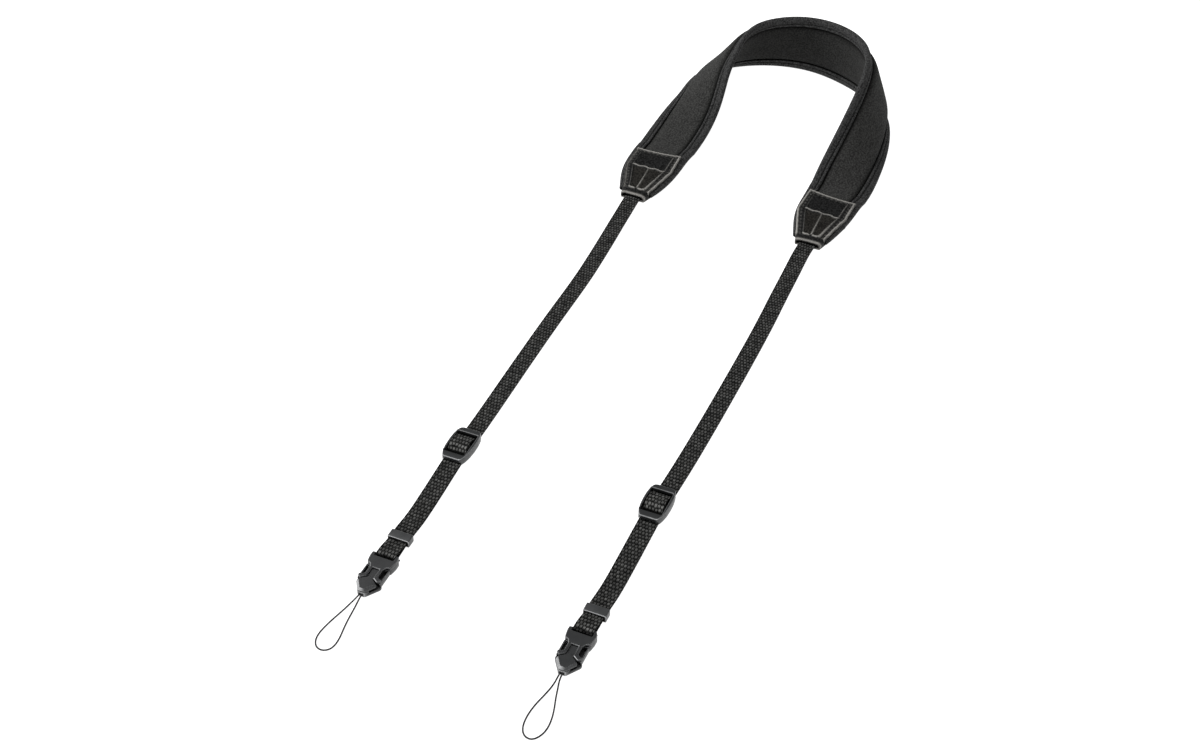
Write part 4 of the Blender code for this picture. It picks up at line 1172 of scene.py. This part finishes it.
def webbing_light(y, z, slider, bar):
    """How much light the webbing's crowns get along its path: none under the slider's bars and
    behind the buckle's bar, and more on the two humps, where the loops stand open."""
    inside = np.abs(y - slider) < 8.8
    shade = np.where(inside, smooth_step(z, 2.8, 3.8), 1.0) * smooth_step(y, bar - 1.85, bar - 1.35)
    shade = shade * (1 + 0.2 * hump(y - slider, 6) + 1.2 * hump(y - slider + 3.9, 1.7))
    return shade * (1 + 0.8 * hump(y - bar - 0.2, 1.8))


def make_webbing(side, sizes, materials):
    """A woven ribbon carried along its folded path and sideways along its route. Its two faces
    stand off the middle by half its thickness, less where the weave is low."""
    places = SIDES[side]
    pitch, yarn_float = mm(sizes.yarn_pitch), mm(sizes.yarn_float)
    route = SmoothCurve(places["route"])
    dense = np.linspace(0, route.length, 800)
    route_x, route_y = route.read(dense).T
    path = SmoothCurve(ribbon_path(places))
    u = stations_along(0, path.length, yarn_float / 10)
    y, z = path.read(u).T
    run = path.heading(u, 0.4)
    heading = route.heading(np.interp(-y, -route_y, dense))
    slider, bar = places["slider"][1], places["bar"][1]
    x = np.interp(-y, -route_y, route_x) - 0.6 * hump(y - slider, 7)
    sideways = np.stack([-heading[:, 1], heading[:, 0], 0 * x], axis=1)
    up = np.stack([0 * x, run[:, 1], -run[:, 0]], axis=1)
    middle = np.stack([x, y, z], axis=1)
    half = WEB_WIDTH / 2
    count = int(round(WEB_WIDTH / pitch))
    v = np.arange(8 * count + 1)[1:-1][None] * pitch / 8 - half
    u = u[:, None]
    round_edge = (1 - np.abs(v / half) ** 24) ** 0.5
    selvedge = smooth_step(np.abs(v), half - SELVEDGE[0], half - SELVEDGE[1])
    heights, lights = [], []
    for over in (0, 1):
        height, light = weave(u, v + half, pitch, yarn_float, over)
        height = height * (1 - selvedge) + selvedge * (0.7 + 0.3 * height)
        heights.append(round_edge * (WEB_THICK / 2 - WEAVE_DEPTH * (1 - height)))
        lights.append(light)
    edge = half - 0.05 * (1 - np.cos(4 * np.pi * u / yarn_float))
    section = np.concatenate([
        np.stack([v + 0 * u, heights[0]], axis=2), np.stack([edge, 0 * u], axis=2),
        np.stack([v + 0 * u, -heights[1]], axis=2)[:, ::-1], np.stack([-edge, 0 * u], axis=2),
    ], axis=1)
    # The crown mark: painted highlight on the crowns with painted shade between, a low value on the
    # edges, then painted shade and light along the path from webbing_light.
    crown = np.concatenate([lights[0], 0.1 + 0 * u, lights[1][:, ::-1], 0.1 + 0 * u], axis=1)
    crown = crown * webbing_light(y, z, slider, bar)[:, None]
    points = middle[:, None] + section[..., :1] * sideways[:, None] + section[..., 1:] * up[:, None]
    past_edge = half + np.array([[0.2, 0.4]])
    v = np.hstack([v, past_edge[:, :1], v[:, ::-1] + LOWER_FACE_V, past_edge + LOWER_FACE_V])
    uv = np.stack([u + 0 * v, v + 0 * u], axis=2) * MM
    strap = shell(points, uv, crown=crown)
    add_piece(f"webbing_strap_{side}", [strap], materials["webbing"], [f"webbing_{side}"])


def rounded(corners, radius, count=5):
    """A closed outline whose corners are rounded: each is a parabola between the points that lie
    a radius from it along its two sides."""
    corners = np.array(corners, float)
    before, after = np.roll(corners, 1, axis=0), np.roll(corners, -1, axis=0)
    back, forth = before - corners, after - corners
    back_length, forth_length = np.linalg.norm(back, axis=1), np.linalg.norm(forth, axis=1)
    reach = np.minimum(radius, 0.48 * np.minimum(back_length, forth_length))[:, None]
    start = corners + back / back_length[:, None] * reach
    end = corners + forth / forth_length[:, None] * reach
    t = np.linspace(0, 1, count)[None, :, None]
    curve = (1 - t) ** 2 * start[:, None] + 2 * t * (1 - t) * corners[:, None] + t**2 * end[:, None]
    return curve.reshape(-1, 2)


def mirrored(half):
    """A whole outline from the corners of its right half, ordered from back to front."""
    return [*half, *[(-x, *rest) for x, *rest in reversed(half)]]


def mitred(corners, inset):
    """The outline with every side moved inwards. With n and m the inward normals of a corner's
    two sides, the corner moves by inset * (n + m) / (1 + n.m)."""
    corners = np.array(corners, float)
    if corners.shape[1] > 2:
        inset = inset * corners[:, 2:]
    corners = corners[:, :2]
    following = np.roll(corners, -1, axis=0)
    run = following - corners
    run /= np.linalg.norm(run, axis=1)[:, None]
    area = (corners[:, 0] * following[:, 1] - following[:, 0] * corners[:, 1]).sum()
    ahead = np.sign(area) * np.stack([-run[:, 1], run[:, 0]], axis=1)
    behind = np.roll(ahead, 1, axis=0)
    return corners + inset * (ahead + behind) / (1 + (ahead * behind).sum(axis=1))[:, None]


# Places on a quarter round.
TURN = np.linspace(0, np.pi / 2, 5)


def round_layers(low, high, radius, foot=0.15):
    """Layers (inset, height, edge) of a slab whose upper rim is a quarter round, and whose lower
    one is a smaller one. edge is the painted highlight's share, 1 in the middle of the upper round."""
    under = [(foot * (1 - np.sin(t)), low + foot * (1 - np.cos(t)), 0.0) for t in TURN[::2]]
    over = [
        (radius * (1 - np.cos(t)), high - radius * (1 - np.sin(t)), np.sin(2 * t) ** 2) for t in TURN
    ]
    return [(foot + 0.04, low, 0.0), *under, *over, (radius + 0.04, high, 0.0)]


def upright(outline, y):
    """An outline seen from the front, as a ring of points at y along the strap."""
    return np.column_stack([outline[:, 0], np.full(len(outline), y), outline[:, 1]])


def facing_front(outline):
    """How strong the painted highlight is at each point of an outline from above: most where it
    faces the front, less at the sides, and least at the back."""
    run = np.roll(outline, -1, axis=0) - np.roll(outline, 1, axis=0)
    run /= np.maximum(np.linalg.norm(run, axis=1), 1e-9)[:, None]
    after = np.roll(outline, -1, axis=0)
    area = (outline[:, 0] * after[:, 1] - after[:, 0] * outline[:, 1]).sum()
    return 0.15 + 0.85 * np.clip(np.sign(area) * run[:, 0], 0, 1) ** 2 + 0.3 * run[:, 1] ** 2


def stacked(outlines, layers, shine):
    """A solid through outlines from above, one for each layer of (inset, height, edge). shine
    is how strong the painted highlight on its edges is, or a function that gives it along an outline."""
    rings = [
        np.column_stack([outline, np.full(len(outline), height)])
        for outline, (_, height, _) in zip(outlines, layers)
    ]
    shine = shine(outlines[0]) if callable(shine) else shine
    edge = np.array([shine * mark * facing_front(outlines[0]) for _, _, mark in layers])
    return shell(np.array(rings), edge=edge)


def slab(corners, layers, radius, shine=1.0):
    """A solid plate: an outline with rounded corners, moved in by each layer's inset."""
    outlines = [rounded(mitred(corners, inset), max(radius - inset, 0.12)) for inset, _, _ in layers]
    return stacked(outlines, layers, shine)


def bar_along_x(y, z, reach, radius):
    """A straight bar with a rounded rectangular section, y and z being its ranges."""
    section = rounded([(y[0], z[0]), (y[1], z[0]), (y[1], z[1]), (y[0], z[1])], radius)
    rings = [np.column_stack([np.full(len(section), x), section]) for x in (-reach, reach)]
    return shell(np.array(rings))


def matched(outline, marks, counts):
    """The outline read again so that it passes its nearest points to the marks in turn, with the
    given count of even steps between each two."""
    closed = np.concatenate([outline, outline[:1]])
    reach = np.concatenate([[0], np.cumsum(np.linalg.norm(np.diff(closed, axis=0), axis=1))])
    dense_at = np.linspace(0, reach[-1], 4000, endpoint=False)
    dense = np.stack([np.interp(dense_at, reach, closed[:, k]) for k in (0, 1)], axis=1)
    found = [dense_at[np.linalg.norm(dense - mark, axis=1).argmin()] for mark in np.array(marks)]
    found = np.array([*found, found[0] + reach[-1]])
    found[1:] += reach[-1] * np.cumsum(np.diff(found) < 0)
    found[-1] = found[0] + reach[-1]
    steps = [np.linspace(a, b, n, endpoint=False) for a, b, n in zip(found[:-1], found[1:], counts)]
    at = np.concatenate(steps) % reach[-1]
    return np.stack([np.interp(at, reach, closed[:, k]) for k in (0, 1)], axis=1)


def make_slider(side, materials):
    """A tri-glide: a barrel-shaped ring with rounded rims, whose two end bars stand clear of
    the webbing under them, and a centre bar across it."""
    rim, foot = 0.55, 0.2
    climb = [("low", foot * (1 - np.sin(t)), foot * (1 - np.cos(t)), 0.0) for t in TURN]
    climb += [
        ("top", rim * (1 - np.cos(t)), -rim * (1 - np.sin(t)), np.sin(2 * t) ** 2) for t in TURN
    ]
    outside = mirrored([(across, along) for along, across in SLIDER_OUTLINE])
    rows, marks = [], []
    for corners, way, radius, shine, through, layers in (
        (outside, 1, 1.0, 1.0, OUTER_MARKS, climb),
        (SLIDER_HOLE, -1, 0.9, 0.45, INNER_MARKS, climb[::-1]),
    ):
        through = [*through, *[(-x, -y) for x, y in through]]
        for level, inset, offset, mark in layers:
            outline = matched(rounded(mitred(corners, way * inset), radius, 7), through, MARK_STEPS)
            x, y = outline.T
            on_end = (np.abs(x) < CHANNEL_HALF + 0.05) & (np.abs(y) > 8)
            under_end = np.where(y > 0, CHANNEL_TOP["back"], CHANNEL_TOP["front"])
            low = np.where(on_end, under_end, 0.0)
            top = SLIDER_TOP - 0.5 * smooth_step(y, 8.5, 12.6)
            rows.append(np.column_stack([outline, (low if level == "low" else top) + offset]))
            # Painted highlight along the rims, strongest in the middle of the upper round and where
            # they face the front, with a painted glint at the front bar's right corner.
            corner = 1 + 1.5 * hump(np.hypot(x - 4.9, y + 12.3), 0.7)
            marks.append(shine * mark * corner * facing_front(outline * (1, way)))
    parts = [
        shell(np.array(rows), wrap_rows=True, edge=np.array(marks)),
        bar_along_x(*SLIDER_BAR),
        *[
            slab([(s * x, y) for x, y in SLIDER_LEDGE], round_layers(-0.6, 0.7, 0.2), 0.2)
            for s in (1, -1)
        ],
        slab(SLIDER_SOLE, round_layers(-0.65, -0.38, 0.08, foot=0.08), 0.2),
    ]
    x, y = SIDES[side]["slider"]
    parts = [shifted(part, x, y, SLIDER_LIFT) for part in parts]
    add_piece(f"tri_glide_{side}", parts, materials["plastic"], [f"slider_{side}"])


def make_keeper(side, materials):
    """A band round both webbing layers: a rounded rectangular loop seen from the front, with a
    rounded section along the strap. Its front upper rim gets the strongest painted highlight."""
    rings, marks = [], []
    for corners, way, plan, radius in ((KEEPER_OUTER, 1, 0.8, 0.42), (KEEPER_INNER, -1, 0.4, 0.25)):
        for end, order in ((-way, TURN), (way, TURN[::-1])):
            for t in order:
                outline = rounded(mitred(corners, way * radius * (1 - np.sin(t))), plan, 8)
                rings.append(upright(outline, end * (KEEPER_HALF - radius * (1 - np.cos(t)))))
                # Painted highlight: strong on the front upper rim, faint on the rest of the outside,
                # none inside.
                shine = np.where((outline[:, 1] > 3.5) & (end < 0), 1.4, 0.15)
                marks.append((0.05 + np.sin(2 * t) ** 2 * shine) * (way > 0))
    band = shell(np.array(rings), wrap_rows=True, edge=np.array(marks))
    x, y = SIDES[side]["keeper"]
    name = f"strap_keeper_{side}"
    add_piece(name, [shifted(band, x, y)], materials["plastic"], [f"keeper_{side}"])


def plate_highlight(outline):
    """How strong the painted highlight on the socket's top plate is: weak round its sunken way, but
    for two painted glints at its back, and strongest along the right side of its notch."""
    x, y = outline.T
    in_way = (np.abs(x) < 2.6) & (y < -11) & (y > -18.4)
    on_notch = (x > 1.9) & (x < 4.9) & (y < -17.9)
    highlight = np.where(in_way, 0.1, 0.4) + 2.2 * on_notch
    for spot_x, spot_y, reach in ((-0.9, -11.7, 0.7), (1.7, -11.9, 0.5)):
        highlight += 0.9 * hump(np.hypot(x - spot_x, y - spot_y), reach)
    return highlight


def left_highlight(outline):
    """How strong the painted highlight on the arrow cap and nose is: full on their left, and faint on
    their right.
    """
    return 1 - 0.8 * smooth_step(outline[:, 0], -0.6, 1.4)


def make_socket(side, materials):
    """The buckle's webbing half: two arms and a bar on a narrow base, and over it a flat top
    plate with a sunken way down its middle and a notch at its front."""
    top = [(x, min(y, LEFT_ARM_END) if x < 0 else y, share) for x, y, share in mirrored(SOCKET_TOP)]
    parts = [
        slab(top, round_layers(3.55, 5.2, 0.5, foot=0.12), 0.6, plate_highlight),
        slab(mirrored(SOCKET_BASE), round_layers(0.0, 3.5, 0.12, foot=0.35), 0.6),
        slab(mirrored(SOCKET_FLOOR), round_layers(0.15, 0.9, 0.2), 0.4),
        slab(mirrored(SOCKET_SOLE), round_layers(0.0, 0.3, 0.1, foot=0.1), 0.4),
        bar_along_x(*SOCKET_BAR),
    ]
    parts = [shifted(part, *SIDES[side]["bar"]) for part in parts]
    add_piece(f"socket_half_{side}", parts, materials["plastic"], [f"buckle_socket_{side}"])


def make_insert(side, materials):
    """The buckle's cord half: a nose with a raised arrow cap over a groove, a hole for the cord's
    ends, a centre tongue in the sunken way, and a prong along each side."""
    cap = [
        rounded(mitred(mirrored(half), inset), max(0.5 - inset, 0.12))
        for half, inset, _, _ in CAP_LAYERS
    ]
    nose = mirrored(NOSE)
    parts = [
        slab(nose, round_layers(0.2, 1.8, 0.35), 0.6, lambda outline: 0.6 * left_highlight(outline)),
        slab(mitred(nose, 2.1), round_layers(1.5, 3.5, 0.1), 0.4),
        stacked(cap, [layer[1:] for layer in CAP_LAYERS], left_highlight),
        slab(mirrored(TONGUE), round_layers(3.52, 4.35, 0.25, foot=0.05), 0.3),
        *[slab([(s * x, y) for x, y in PRONG], round_layers(0.95, 3.7, 0.3), 0.4) for s in (1, -1)],
        cord_mouth(),
    ]
    parts = [shifted(part, *SIDES[side]["bar"]) for part in parts]
    add_piece(f"insert_half_{side}", parts, materials["plastic"], [f"buckle_insert_{side}"])


def cord_mouth():
    """The nose's tip: a ring that narrows forwards round the flat hole where the cord goes in."""
    floor, roof = MOUTH_HEIGHTS
    rings, highlight = [], []
    for along, half, rim, shine in MOUTH_RINGS:
        low, high = floor + rim, roof - rim
        corners = [(half, low), (half, high), (-half, high), (-half, low)]
        rings.append(upright(rounded(corners, 0.6), along))
        highlight.append(shine)
    hole = rounded(CORD_HOLE, 0.5)
    rings += [upright(hole, along) for along in CORD_HOLE_AT]
    highlight += [0.0] * len(CORD_HOLE_AT)
    return shell(np.array(rings), edge=np.array(highlight)[:, None])


def make_cord_loop(side, sizes, materials):
    """A round braided cord: a tube along its route with crossing strands that stand out a
    little, its two ends in the buckle's nose."""
    route = SmoothCurve(LOOP_ROUTES[side], 3)
    u = stations_along(0, route.length, BRAID_STEP)
    middle, heading = route.read(u), route.heading(u, 0.3)
    sideways = np.cross(heading, (0.0, 0.0, 1.0))
    sideways /= np.linalg.norm(sideways, axis=1)[:, None]
    up = np.cross(sideways, heading)
    turn = np.linspace(0, 2 * np.pi, 16, endpoint=False)[None]
    lay = 2 * np.pi * u[:, None] / BRAID_LAY
    strands = np.maximum(np.abs(np.cos(2 * turn + lay)), np.abs(np.cos(2 * turn - lay)))
    radius = mm(sizes.cord) / 2 * (1.0 + BRAID_RELIEF * strands)
    points = (
        middle[:, None] + sideways[:, None] * (radius * np.cos(turn))[..., None]
        + up[:, None] * (radius * np.sin(turn))[..., None]
    )
    tube = shell(points, crown=(strands - 0.5) * 2)
    loop = add_piece(f"cord_{side}", [tube], materials["cord"], [f"cord_loop_{side}"])


def make_floor(scene):
    """A plain square floor at the strap's underside, wide enough to fill the picture."""
    mesh = bpy.data.meshes.new("floor")
    corners = [(x * FLOOR_REACH, y * FLOOR_REACH, 0) for x, y in ((-1, -1), (1, -1), (1, 1), (-1, 1))]
    mesh.from_pydata(corners, [], [(0, 1, 2, 3)])
    mesh.materials.append(material(scene, "floor"))
    floor = bpy.data.objects.new("floor", mesh)
    scene.collection.objects.link(floor)


def make_lights(scene):
    """The softboxes, and an even white world."""
    for name, place, aim, width, depth, power in LIGHTS:
        data = bpy.data.lights.new(name, "AREA")
        data.shape, data.size, data.size_y, data.energy = "RECTANGLE", width, depth, power
        lamp = bpy.data.objects.new(name, data)
        lamp.location = place
        lamp.rotation_euler = (Vector(aim) - Vector(place)).to_track_quat("-Z", "Y").to_euler()
        scene.collection.objects.link(lamp)
    world = bpy.data.worlds.new("white studio")
    scene.world = world
    world.use_nodes = True
    background = world.node_tree.nodes["Background"]
    background.inputs["Color"].default_value = (1.0, 1.0, 1.0, 1.0)
    background.inputs["Strength"].default_value = WORLD_LIGHT


class STRAP_OT_stage(bpy.types.Operator):
    """Make the camera, the pale floor and the soft studio light"""

    bl_idname = "strap.stage"
    bl_label = "Stage"

    def execute(self, context):
        scene = context.scene
        camera = bpy.data.objects.new("camera", bpy.data.cameras.new("camera"))
        scene.collection.objects.link(camera)
        camera.data.lens, camera.data.sensor_width = CAMERA_LENS, CAMERA_SENSOR
        camera.location = CAMERA_AT
        aim = Vector(CAMERA_AIM) - Vector(CAMERA_AT)
        camera.rotation_euler = aim.to_track_quat("-Z", "Y").to_euler()
        scene.camera = camera
        scene.view_settings.view_transform = "Standard"
        make_floor(scene)
        make_lights(scene)
        return {"FINISHED"}


def made_with(context):
    """What the pieces are made with: the scene's sizes, and the strap's materials by use."""
    scene = context.scene
    return scene.strap_sizes, {use: material(scene, use) for use in MATERIALS}


class STRAP_OT_cord_loops(bpy.types.Operator):
    """Make the two cord loops"""

    bl_idname = "strap.cord_loops"
    bl_label = "Cord loops"

    def execute(self, context):
        sizes, materials = made_with(context)
        for side in SIDES:
            make_cord_loop(side, sizes, materials)
        return {"FINISHED"}


class STRAP_OT_pad(bpy.types.Operator):
    """Make the padded panel of the neck band"""

    bl_idname = "strap.pad"
    bl_label = "Neck pad"

    def execute(self, context):
        sizes, materials = made_with(context)
        make_panel(sizes, materials)
        return {"FINISHED"}


class STRAP_OT_bindings(bpy.types.Operator):
    """Make the binding tapes and their stitching"""

    bl_idname = "strap.bindings"
    bl_label = "Bindings"

    def execute(self, context):
        sizes, materials = made_with(context)
        for edge, side in (("outer", -1), ("inner", 1)):
            make_binding(f"binding_tape_{edge}", f"edge_binding_{edge}", side, sizes, materials)
        return {"FINISHED"}


class STRAP_OT_patches(bpy.types.Operator):
    """Make the leather patches, their stitching and their backs"""

    bl_idname = "strap.patches"
    bl_label = "End patches"

    def execute(self, context):
        sizes, materials = made_with(context)
        for side in SIDES:
            make_end_patch(side, sizes, materials)
            make_patch_back(side, sizes, materials)
        return {"FINISHED"}


class STRAP_OT_webbing(bpy.types.Operator):
    """Make the two webbing straps"""

    bl_idname = "strap.webbing"
    bl_label = "Webbing"

    def execute(self, context):
        sizes, materials = made_with(context)
        for side in SIDES:
            make_webbing(side, sizes, materials)
        return {"FINISHED"}


class STRAP_OT_fittings(bpy.types.Operator):
    """Make the sliders and keepers"""

    bl_idname = "strap.fittings"
    bl_label = "Sliders and keepers"

    def execute(self, context):
        _, materials = made_with(context)
        for side in SIDES:
            make_slider(side, materials)
            make_keeper(side, materials)
        return {"FINISHED"}


class STRAP_OT_buckles(bpy.types.Operator):
    """Make the two halves of each buckle"""

    bl_idname = "strap.buckles"
    bl_label = "Buckles"

    def execute(self, context):
        _, materials = made_with(context)
        for side in SIDES:
            make_socket(side, materials)
            make_insert(side, materials)
        return {"FINISHED"}


OPERATORS = (
    STRAP_OT_stage, STRAP_OT_cord_loops, STRAP_OT_pad, STRAP_OT_bindings, STRAP_OT_patches,
    STRAP_OT_webbing, STRAP_OT_fittings, STRAP_OT_buckles,
)


class STRAP_PT_panel(bpy.types.Panel):
    """The strap's sizes, colours and pieces"""

    bl_label = "Neck Strap"
    bl_space_type = "VIEW_3D"
    bl_region_type = "UI"
    bl_category = "Neck Strap"

    def draw(self, context):
        layout = self.layout
        for group in (context.scene.strap_sizes, context.scene.strap_colours):
            box = layout.box()
            for name in group.__annotations__:
                box.prop(group, name)
        for made in OPERATORS:
            layout.operator(made.bl_idname)


CLASSES = (StrapSizes, StrapColours, *OPERATORS, STRAP_PT_panel)


def register():
    for made in CLASSES:
        bpy.utils.register_class(made)
    bpy.types.Scene.strap_sizes = bpy.props.PointerProperty(type=StrapSizes)
    bpy.types.Scene.strap_colours = bpy.props.PointerProperty(type=StrapColours)


def unregister():
    del bpy.types.Scene.strap_colours
    del bpy.types.Scene.strap_sizes
    for made in reversed(CLASSES):
        bpy.utils.unregister_class(made)


def main():
    """Registers the add-on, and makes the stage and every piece."""
    register()
    bpy.ops.strap.stage()
    bpy.ops.strap.cord_loops()
    bpy.ops.strap.pad()
    bpy.ops.strap.bindings()
    bpy.ops.strap.patches()
    bpy.ops.strap.webbing()
    bpy.ops.strap.fittings()
    bpy.ops.strap.buckles()


if __name__ == "__main__":
    main()
